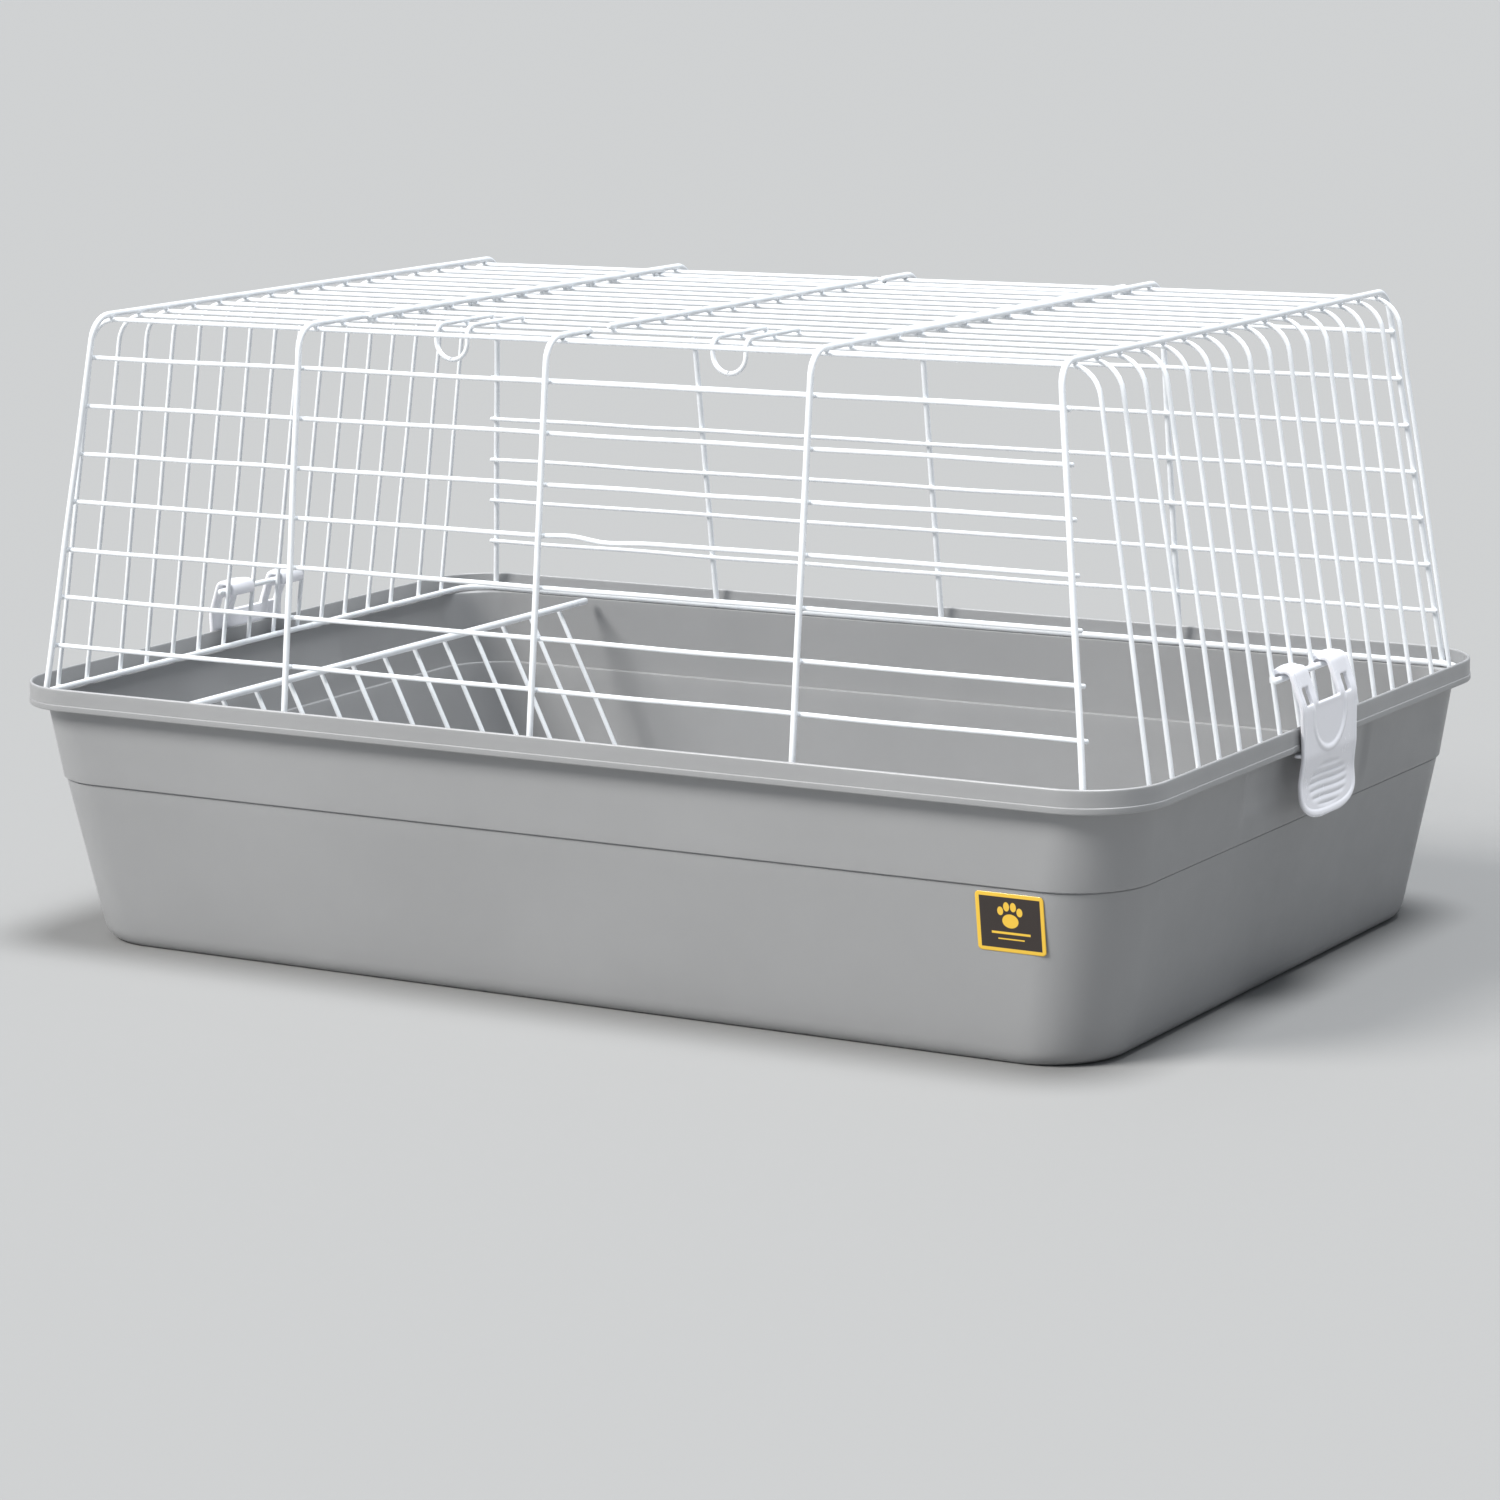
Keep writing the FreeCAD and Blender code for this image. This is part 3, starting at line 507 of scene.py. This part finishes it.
KNOCKED_RAIL = ("front", 3)
for side, word in ((-1, "front"), (1, "rear")):
    for number in range(7):
        height = RAIL_HIGH - number * RAIL_PITCH
        reach = side * (leg_reach(height) - RAIL_INSET)
        half = END_HOOP + (HOOP_TOP - height) * SPLAY + RAIL_OVERRUN
        path = route([(-half, reach, height), (half, reach, height)], [], WIRE_STEP)
        path = uneven(path, UP, 0.35, 100 + 10 * number + side)
        if (word, number) == KNOCKED_RAIL:
            path = knocked(path, 34, 20, 1.3)
        node = "%s_rail_%d" % (word, number + 1)
        make_wires(node + "_wire", [path], THIN_WIRE, UP, "hutch", [node])


# ---------------------------------------------------------------- foot ring and latch bars
# A 4 mm ring ties the feet of all the upright wires and sits on the tub's ledge.
# A short bar across four end wires at each end is what a latch hangs on.
RING_HEIGHT, BAR_HEIGHT, BAR_HALF, RING_CORNER = 161.7, 199.5, 46.0, 22
END_LEAN = (END_FOOT_HALF - END_TOP_HALF) / (LONG_TOP - WIRE_FOOT)
BAR_OUT = (HOOP_WIRE / 2 + THIN_WIRE / 2 + WELD_GAP) * 1.012
BAR_AT = END_TOP_HALF + (LONG_TOP - BAR_HEIGHT) * END_LEAN + BAR_OUT
ring_wide = HOOP_FOOT_HALF - HOOP_WIRE - WELD_GAP - 0.3
ring_long = END_FOOT_HALF - HOOP_WIRE / 2 - THIN_WIRE / 2 - WELD_GAP - 0.4
turns = ((0, -1), (1, -1), (1, 1), (-1, 1), (-1, -1), (0, -1))
corners = [(x * ring_long, y * ring_wide, RING_HEIGHT) for x, y in turns]
ring_route = route(corners, [RING_CORNER] * 4, 9)
make_wires("foot_ring_wire", [ring_route], HOOP_WIRE, UP, "hutch", ["foot_ring"])
for side, word in ((-1, "left"), (1, "right")):
    bar = [(side * BAR_AT, -BAR_HALF, BAR_HEIGHT), (side * BAR_AT, BAR_HALF, BAR_HEIGHT)]
    make_wires("latch_bar_%s_wire" % word, [route(bar, [], WIRE_STEP)], HOOP_WIRE, UP, "hutch",
               ["latch_bar_" + word], HOOP_SIDES)


# ---------------------------------------------------------------- weld beads of the wire top
# Every crossing is a resistance weld: the upper wire is pressed slightly into the lower
# one, and the powder coat fills the corner between them with a small smooth bead.
def bead_mesh(centres, first, second, sizes):
    """Small closed beads, of eight points round by four rings between the poles.

    A place is centre + a cos(u) cos(v) first + b sin(u) cos(v) second + c sin(v) third, where a, b
    and c are the sizes, first and second the two wires' directions, and third square to both.
    """
    first = first / np.linalg.norm(first, axis=1)[:, None]
    third = np.cross(first, second)
    third /= np.linalg.norm(third, axis=1)[:, None]
    second = np.cross(third, first)
    around = 8
    u = 2 * math.pi * np.arange(around) / around
    v = np.radians([-54, -18, 18, 54])
    a, b, c = sizes
    ring = np.stack([a * np.cos(v)[:, None] * np.cos(u), b * np.cos(v)[:, None] * np.sin(u),
                     np.repeat(c * np.sin(v)[:, None], around, 1)], axis=2).reshape(-1, 3)
    local = np.concatenate([ring, [[0, 0, -c], [0, 0, c]]])
    axes = np.stack([first, second, third], axis=1)
    points = centres[:, None, :] + np.einsum("pk,nkj->npj", local, axes)
    quads, fans = shell_faces(len(v), around)
    shift = (np.arange(len(centres)) * len(local))[:, None, None]
    return points.reshape(-1, 3), (quads + shift).reshape(-1, 4), (fans + shift).reshape(-1, 3)


def make_beads(name, welds, body):
    """One piece of beads; a weld is the contact point, the two wires' directions and the sizes."""
    shells = []
    for sizes in sorted(set(weld[3] for weld in welds)):
        same = [weld for weld in welds if weld[3] == sizes]
        centres, first, second = (np.array([weld[k] for weld in same], float) for k in range(3))
        shells.append(bead_mesh(centres, first, second, sizes))
    make_coated(name, shells, body, [])


THICK_BEAD, THIN_BEAD = (2.3, 2.0, 1.35), (1.9, 1.8, 1.15)
LEGS = ((-END_HOOP, -SPLAY), (-BAY, 0), (0, 0), (BAY, 0), (END_HOOP, SPLAY))
BAR_WIRES = range(6, 10)
welds = []
for side in (-1, 1):
    for number in range(7):
        height = RAIL_HIGH - number * RAIL_PITCH
        contact = side * (leg_reach(height) - HOOP_WIRE / 2)
        for at, splay in LEGS:
            spot = (at + splay * (HOOP_TOP - height), contact, height)
            welds.append((spot, ALONG, (splay, side * LEG_LEAN, -1), THICK_BEAD))
    for at, splay in LEGS:
        x = at + splay * (HOOP_TOP - RING_HEIGHT)
        spot = (x, side * (ring_wide + HOOP_WIRE / 2), RING_HEIGHT)
        welds.append((spot, ALONG, UP, THICK_BEAD))
    end_wire = (side * END_LEAN, 0, -1)
    for number in range(16):
        y = (number - 7.5) * PITCH
        fan = math.tan(math.radians(FANS.get(number, 0)))
        foot_y = y + fan * (LONG_TOP - RING_HEIGHT)
        if abs(foot_y) < ring_wide - RING_CORNER:
            spot = (side * (ring_long + HOOP_WIRE / 2), foot_y, RING_HEIGHT)
            welds.append((spot, ACROSS, end_wire, THICK_BEAD))
        for at in (END_HOOP, BAY):
            welds.append(((side * at, y, LONG_TOP + THIN_WIRE / 2), ALONG, ACROSS, THICK_BEAD))
        if number in FANS:
            welds.append(((0, y, LONG_TOP + THIN_WIRE / 2), ALONG, ACROSS, THICK_BEAD))
    for number in BAR_WIRES:
        spot = (side * (BAR_AT - HOOP_WIRE / 2), (number - 7.5) * PITCH, BAR_HEIGHT)
        welds.append((spot, ACROSS, end_wire, THIN_BEAD))
make_beads("wire_top_welds", welds, "hutch")


# ---------------------------------------------------------------- door
# A top door of twelve 3 mm wires under three 4 mm rods.  The two side rods curl round
# the last but one long wire as hinges, and two bent loops at the front are the pulls.
DOOR_TOP, DOOR_HALF, DOOR_ROD, DOOR_FRONT, DOOR_MIDDLE_BACK = 403.4, 180.7, 178.7, 158.7, 171.0
ROD_HEIGHT = DOOR_TOP + HOOP_WIRE / 2 + THIN_WIRE / 2 + WELD_GAP
HINGE_Y = 6.5 * PITCH
rise = ROD_HEIGHT - LONG_TOP
curl = [(-HINGE_Y - DOOR_FRONT, rise), (rise, rise), (rise, -rise), (-rise, -rise), (-rise, -0.6)]
SHY = 0.02    # what a bend's radius falls short of half a side, so that two bends never meet
for side, word in ((-1, "left"), (1, "right")):
    corners = [(side * DOOR_ROD, HINGE_Y + y, LONG_TOP + z) for y, z in curl]
    path = route(corners, [rise - SHY] * 3, WIRE_STEP)
    node = "door_rod_" + word
    make_wires(node + "_wire", [path], HOOP_WIRE, ALONG, "door", [node], HOOP_SIDES)
corners = [(0, -DOOR_FRONT, ROD_HEIGHT), (0, DOOR_MIDDLE_BACK, ROD_HEIGHT)]
path = uneven(route(corners, [], WIRE_STEP), ALONG, 0.2, 200)
make_wires("door_rod_middle_wire", [path], HOOP_WIRE, ALONG, "door", ["door_rod_middle"],
           HOOP_SIDES)
door_paths = []
for number in range(12):
    y = (number - 5.5) * PITCH
    path = route([(-DOOR_HALF, y, DOOR_TOP), (DOOR_HALF, y, DOOR_TOP)], [], WIRE_STEP)
    door_paths.append(uneven(path, ACROSS, 0.25, 210 + number))
make_wires("door_long_wires", door_paths, THIN_WIRE, ACROSS, "door", ["door_wires"])

LOOP_HALF, LOOP_BACK, LOOP_FRONT, LOOP_DROP, LOOP_BEND = 11.5, 127.0, 188.1, 21.2, 6.5
high = DOOR_TOP + THIN_WIRE + WELD_GAP
low = high - LOOP_DROP
bow = LOOP_HALF - SHY
door_welds = []
for word, middle_x in (("left", -96.9), ("right", 103.1)):
    left, right = middle_x - LOOP_HALF, middle_x + LOOP_HALF
    corners = [(left, -LOOP_BACK, high), (left, -LOOP_FRONT, high), (left, -LOOP_FRONT, low),
               (right, -LOOP_FRONT, low), (right, -LOOP_FRONT, high), (right, -LOOP_BACK, high)]
    path = route(corners, [LOOP_BEND, bow, bow, LOOP_BEND], 2.5)
    make_wires("catch_loop_%s_wire" % word, [path], THIN_WIRE, (0.7, -0.7, 0.02), "door",
               ["catch_loop_" + word])
    for number in range(2):
        for x in (left, right):
            spot = (x, (number - 5.5) * PITCH, DOOR_TOP + THIN_WIRE / 2)
            door_welds.append((spot, ALONG, ACROSS, THIN_BEAD))
for number in range(12):
    for x in (-DOOR_ROD, 0, DOOR_ROD):
        spot = (x, (number - 5.5) * PITCH, DOOR_TOP + THIN_WIRE / 2)
        door_welds.append((spot, ALONG, ACROSS, THICK_BEAD))
make_beads("door_welds", door_welds, "door")


# ---------------------------------------------------------------- hay rack
# Thirteen 3.2 mm wires welded behind two 5 mm rods.  It stands on the tub's floor and
# leans, to hold hay in the left end of the tub.
RACK_ROD, RACK_WIRE, RACK_PITCH = 5.0, 3.2, 36.0
rack_top = np.array([-288.0, 0, 158.0])
rack_foot = np.array([-214.0, 0, 5.9])
down = (rack_foot - rack_top) / np.linalg.norm(rack_foot - rack_top)
behind = np.array([down[2], 0, -down[0]])
for word, middle, half in (("top", rack_top, 246.0), ("foot", rack_foot, 225.0)):
    path = route([middle - (0, half, 0), middle + (0, half, 0)], [], 9)
    node = "rack_%s_rod" % word
    make_wires(node + "_wire", [path], RACK_ROD, UP, "hay_rack", [node], HOOP_SIDES)
set_back = behind * (RACK_ROD / 2 + RACK_WIRE / 2 + WELD_GAP)
rack_paths, rack_welds = [], []
for number in range(13):
    line = np.array([0, (number - 6) * RACK_PITCH, 0])
    start = rack_top + set_back - down * 2 + line
    stop = rack_foot + set_back - down * 0.1 + line
    rack_paths.append(uneven(route([start, stop], [], WIRE_STEP), ACROSS, 0.4, 300 + number))
    for middle in (rack_top, rack_foot):
        rack_welds.append((middle + line + behind * RACK_ROD / 2, ACROSS, down, THICK_BEAD))
make_wires("rack_long_wires", rack_paths, RACK_WIRE, ACROSS, "hay_rack", ["rack_wires"])
make_beads("rack_welds", rack_welds, "hay_rack")


# ---------------------------------------------------------------- latches
# A gloss white moulding at each end.  Two thick hooks turn on the bar, in the gaps between
# the end wires, and the foot behind the thumb plate catches under the tub's lip.
PLATE_HALF, PLATE_TOP, LATCH_WALL = 40.2, -16.4, 2.9
HOOK_HALF, SLOT_HALF, SLOT_LOW, SLOT_HIGH = 12, 4.3, -17, -6.5
FOOT_START, FOOT_DEPTH, FOOT_HALF, FOOT_POWER = -70, 16.4, 39.4, 2.7


def latch_line():
    """The middle of the moulding's thickness seen from the side, as (out, up) from the bar.

    Its last 12 mm are stepped by the sine of a quarter turn, closer and closer to the end.
    """
    corners = [(-5.2, -3), (-5.2, 4.6), (5.8, 4.6), (14.3, PLATE_TOP), (14.7, -48), (12.7, -64),
               (14.7, -86)]
    line = route(corners, [4.4, 4.4, 20, 30, 30], 1.25)
    line = line[line[:, 1] > -74]
    closing = np.sin(np.linspace(0, math.pi / 2, 18))[1:, None]
    return np.concatenate([line, line[-1] + (np.array(corners[-1]) - line[-1]) * closing])


def latch_outline(height):
    """Half the plate's width at a height below the bar: hooks, a slight waist, a round foot.

    Down the foot, with t from 0 at its start to 1 at its depth and p the foot's power, the width
    falls as (1 - t^p)^(1/p).
    """
    marks = [FOOT_START, -64, -56, -47, -38, -28, -20, -8, 10]
    halves = [FOOT_HALF, 39.3, 38.7, 38.4, 38.6, 39.2, 39.6, 40.1, PLATE_HALF]
    t = np.clip((FOOT_START - height) / FOOT_DEPTH, 0, 1)
    return np.interp(height, marks, halves) * (1 - t ** FOOT_POWER) ** (1 / FOOT_POWER)


def raised(distance, width, edge):
    """1 on a band of that width round distance 0, easing to 0 over edge."""
    return smooth_box(distance, -width / 2, width / 2, edge)


def latch_relief(y, z):
    """Height of the pressed detail: a border, a ridged tongue and a ribbed oval thumb rest.

    Round the foot far is (u^p + t^p)^(1/p), 1 on the outline, and the distance in from the outline
    is (1 - far) over the length of far's slope.  The ribs are 0.5 + 0.5 cos(2 pi turns), with the
    turns counted up the plate.
    """
    p, least = FOOT_POWER, 1e-6
    u, t = np.abs(y) / FOOT_HALF, np.clip((FOOT_START - z) / FOOT_DEPTH, 0, 1)
    far = np.maximum((u ** p + t ** p) ** (1 / p), least)
    slope = np.hypot((u / far) ** (p - 1) / FOOT_HALF, (t / far) ** (p - 1) / FOOT_DEPTH)
    on_foot = (1 - far) / np.maximum(slope, least)
    inset = np.where(z < FOOT_START, on_foot, latch_outline(z) - np.abs(y))
    plate = smooth_box(z, -90, -18, 4)
    border = raised(inset - 1.6, 2.8, 1.2) * np.clip((12 - z) / 10, 0, 1)
    tongue_far = np.hypot(y / 23, np.minimum(z + 25, 0) / 21.5)
    inside_tongue = np.clip((1 - tongue_far) * 10, 0, 1) * plate
    ridge = raised((tongue_far - 1) * 22, 2.2, 1.4) * plate
    rest_height, rib_pitch = -68, 4.9
    rest_far = np.hypot(y / 29.0, (z - rest_height) / 14.5)
    rest = np.clip((1 - rest_far) * 6, 0, 1)
    turns = (z - rest_height + 0.4 * np.sin(y / 8.5)) / rib_pitch
    ribs = 0.5 + 0.5 * np.cos(2 * math.pi * turns)
    return 0.7 * border - 0.45 * inside_tongue + 0.6 * ridge + rest * (ribs - 0.8) - 0.6


def make_latch(word, side):
    """A grid of rows down the latch and columns across it, less the slots, then made thick.

    A place is out(s), width(s) * column, up(s), pushed along the line's normal by the relief; the
    hooks swell over the bar by swell * cos(arc * column) * the share of the hook that faces up.
    """
    line = latch_line()
    slope = np.gradient(line, axis=0)
    slope /= np.linalg.norm(slope, axis=1)[:, None]
    normal = np.stack([-slope[:, 1], slope[:, 0]], axis=1)
    gap_half = PITCH - HOOK_HALF
    breaks = [gap_half, PITCH - SLOT_HALF, PITCH + SLOT_HALF, PLATE_HALF]
    breaks = [-place for place in breaks[::-1]] + breaks
    spans = zip(breaks, breaks[1:], [7, 5, 7, 26, 7, 5, 7])
    columns = [np.linspace(start, stop, steps, endpoint=False) for start, stop, steps in spans]
    columns = np.concatenate(columns + [breaks[-1:]])
    up = line[:, 1][:, None]
    y = columns[None, :] * (latch_outline(up) / PLATE_HALF)
    push = latch_relief(y, np.broadcast_to(up, y.shape)) * (line[:, 0] > 0)[:, None]
    swell, arc = 1.5, 1.35
    across_hook = np.clip((np.abs(columns) - PITCH) / HOOK_HALF, -1, 1)
    push = push + swell * np.clip((up + 9) / 12, 0, 1) * np.cos(arc * across_hook)
    out = line[:, 0][:, None] + normal[:, 0][:, None] * push
    high = up + normal[:, 1][:, None] * push
    points = np.stack([out * side + side * BAR_AT, y * side, high + BAR_HEIGHT], axis=2)
    middle_up = (line[1:, 1] + line[:-1, 1])[:, None] / 2
    middle_out = (line[1:, 0] + line[:-1, 0])[:, None] / 2
    middle_column = np.abs(columns[1:] + columns[:-1])[None, :] / 2
    gap = (middle_column < gap_half) & ((middle_up > PLATE_TOP) | (middle_out < 0))
    slot = (np.abs(middle_column - PITCH) < SLOT_HALF) & (middle_out > 0)
    slot &= (middle_up > SLOT_LOW) & (middle_up < SLOT_HIGH)
    i, j = np.nonzero(~(gap | slot))
    across = len(columns)
    corner = i * across + j
    quads = np.stack([corner, corner + 1, corner + across + 1, corner + across], axis=1)
    used, quads = np.unique(quads, return_inverse=True)
    node = "latch_" + word
    piece = make_piece(node + "_moulding", points.reshape(-1, 3)[used] * MM,
                       quads.reshape(-1, 4)[:, ::-1], np.zeros((0, 3), int), latch_white, node,
                       "latch_plastic", [node])
    skin = piece.modifiers.new("thickness", "SOLIDIFY")
    skin.thickness = LATCH_WALL * MM
    skin.offset = 0
    smooth = piece.modifiers.new("rounded", "SUBSURF")
    smooth.levels = 1
    smooth.render_levels = 1


BLOCK_RINGS, BLOCK_SIDES = 15, 24


def rounded_block(middle, halves, power):
    """A closed block with softened edges.

    Along each axis a place is the half size times sign(c) * |c| ** power, where c is what a unit
    sphere has there: cos(v) cos(u), cos(v) sin(u) and sin(v).
    """
    u = 2 * math.pi * np.arange(BLOCK_SIDES) / BLOCK_SIDES
    v = np.radians(np.linspace(-82, 82, BLOCK_RINGS))[:, None]

    def soft(value):
        """The value's sign times its size to the power."""
        return np.sign(value) * np.abs(value) ** power

    x = halves[0] * soft(np.cos(v)) * soft(np.cos(u))
    y = halves[1] * soft(np.cos(v)) * soft(np.sin(u))
    z = halves[2] * soft(np.sin(v)) * np.ones_like(u)
    points = np.stack([x, y, z], axis=2).reshape(-1, 3)
    return np.concatenate([points, [[0, 0, -halves[2]], [0, 0, halves[2]]]]) + middle


latch_white, latch_shader = satin_plastic("gloss_white_plastic", (0.86, 0.86, 0.90), 0.0009, 0.24)
latch_shader.inputs["Subsurface Weight"].default_value = 0.08
latch_shader.inputs["Subsurface Radius"].default_value = (0.004, 0.004, 0.004)
CATCH_OUT, CATCH_DOWN, CATCH_HALVES = 10.9, 46.5, (3.6, 37.8, 1.6)
for side, word in ((-1, "left"), (1, "right")):
    make_latch(word, side)
    middle = (side * (BAR_AT + CATCH_OUT), 0, BAR_HEIGHT - CATCH_DOWN)
    block = rounded_block(middle, CATCH_HALVES, 0.35)
    make_piece("latch_%s_foot" % word, block * MM, *shell_faces(BLOCK_RINGS, BLOCK_SIDES),
               latch_white, "latch_" + word, "latch_plastic", [])


# ---------------------------------------------------------------- label
# A printed film with round corners, stuck low on the front wall: a yellow border round a
# near black field.  The print is plain: a generic paw mark over two yellow bars.
PRINT_EDGE = 0.00012


def label_material():
    """Colours by place on the film: u across and v up, in metres from its middle."""
    material, nodes, links, shader = new_material("label_print")
    where = nodes.new("ShaderNodeUVMap")
    where.uv_map = "film"
    split = nodes.new("ShaderNodeSeparateXYZ")
    links.new(where.outputs["UV"], split.inputs["Vector"])

    def sum_of(kind, first, second):
        """One step of arithmetic on two numbers or sockets."""
        node = nodes.new("ShaderNodeMath")
        node.operation = kind
        for socket, given in zip(node.inputs, (first, second)):
            if isinstance(given, (int, float)):
                socket.default_value = given
            else:
                links.new(given, socket)
        return node.outputs[0]

    def inside(distance, limit):
        """1 where distance is under limit, with a crisp but soft printed edge."""
        ramp = nodes.new("ShaderNodeMapRange")
        ramp.interpolation_type = "SMOOTHSTEP"
        ramp.inputs["From Min"].default_value = limit + PRINT_EDGE
        ramp.inputs["From Max"].default_value = limit - PRINT_EDGE
        links.new(distance, ramp.inputs["Value"])
        return ramp.outputs["Result"]

    u, v = split.outputs["X"], split.outputs["Y"]

    def oval(at_u, at_v, half_u, half_v):
        """1 where the root of du * du + dv * dv is under half_v, with du squeezed to match dv."""
        du = sum_of("DIVIDE", sum_of("SUBTRACT", u, at_u), half_u / half_v)
        dv = sum_of("SUBTRACT", v, at_v)
        squares = sum_of("ADD", sum_of("MULTIPLY", du, du), sum_of("MULTIPLY", dv, dv))
        return inside(sum_of("SQRT", squares, 0), half_v)

    def bar(at_u, at_v, half_u, half_v):
        """1 where the larger of |u - at_u| - half_u and |v - at_v| - half_v is under 0."""
        du = sum_of("SUBTRACT", sum_of("ABSOLUTE", sum_of("SUBTRACT", u, at_u), 0), half_u)
        dv = sum_of("SUBTRACT", sum_of("ABSOLUTE", sum_of("SUBTRACT", v, at_v), 0), half_v)
        return inside(sum_of("MAXIMUM", du, dv), 0)

    field = bar(0, 0, 0.0196, 0.0155)
    marks = [oval(0, 0.0012, 0.0052, 0.0042)]
    for at_u, at_v, half_v in ((0.0062, 0.0070, 0.0026), (0.0022, 0.0098, 0.0028)):
        marks += [oval(-at_u, at_v, 0.0019, half_v), oval(at_u, at_v, 0.0019, half_v)]
    marks += [bar(0, -0.0062, 0.0125, 0.0007), bar(0, -0.0098, 0.0085, 0.0004)]
    print_on = marks[0]
    for mark in marks[1:]:
        print_on = sum_of("MAXIMUM", print_on, mark)
    dark = sum_of("SUBTRACT", field, print_on)
    mix = nodes.new("ShaderNodeMix")
    mix.data_type = "RGBA"
    links.new(dark, mix.inputs["Factor"])
    mix.inputs["A"].default_value = (0.80, 0.50, 0.04, 1)
    mix.inputs["B"].default_value = (0.018, 0.010, 0.007, 1)
    links.new(mix.outputs["Result"], shader.inputs["Base Color"])
    shader.inputs["Roughness"].default_value = 0.3
    shader.inputs["Coat Weight"].default_value = 0.4
    return material


def make_label(material):
    """A thin closed film of rings of a rounded rectangle, out over the face and round the edge.

    A place is middle + x * right + y * up + depth * out, where up leans back with the wall.
    """
    half_wide, half_tall, corner, thick = 22.1, 17.9, 2.6, 0.28
    share = np.array([0.3, 0.65, 0.97, 1.0, 1.0, 0.97, 0.5])
    depth = np.array([1, 1, 1, 0.75, 0.1, 0.0, 0.0])
    plan = rounded_plan(half_wide * share, half_tall * share, corner * share, 8, 8, 6)
    wall_foot, wall_top, wall_rise, clear = 240, 253, 107.5, 0.06
    lean = (wall_top - wall_foot) / wall_rise
    up = np.array([0, -lean, 1]) / math.hypot(1, lean)
    out = np.array([0, -1, -lean]) / math.hypot(1, lean)
    at, height = 323, 86.5
    middle = np.array([at, -(wall_foot + height * lean) - clear, height])
    deep = np.broadcast_to(depth[:, None, None] * thick, plan.shape[:2] + (1,))
    flat = np.concatenate([plan, deep], axis=2).reshape(-1, 3)
    flat = np.concatenate([flat, [[0, 0, thick], [0, 0, 0]]])
    points = middle + flat[:, :1] * np.array([1, 0, 0]) + flat[:, 1:2] * up + flat[:, 2:] * out
    quads, fans = shell_faces(*plan.shape[:2])
    film = make_piece("label_film_print", points * MM, quads[:, ::-1], fans[:, ::-1], material,
                      "hutch", "label_film", ["label"])
    where = film.data.uv_layers.new(name="film")
    corners = np.empty(len(film.data.loops), np.int32)
    film.data.loops.foreach_get("vertex_index", corners)
    where.data.foreach_set("uv", (flat[corners, :2] * MM).astype(np.float32).ravel())


make_label(label_material())
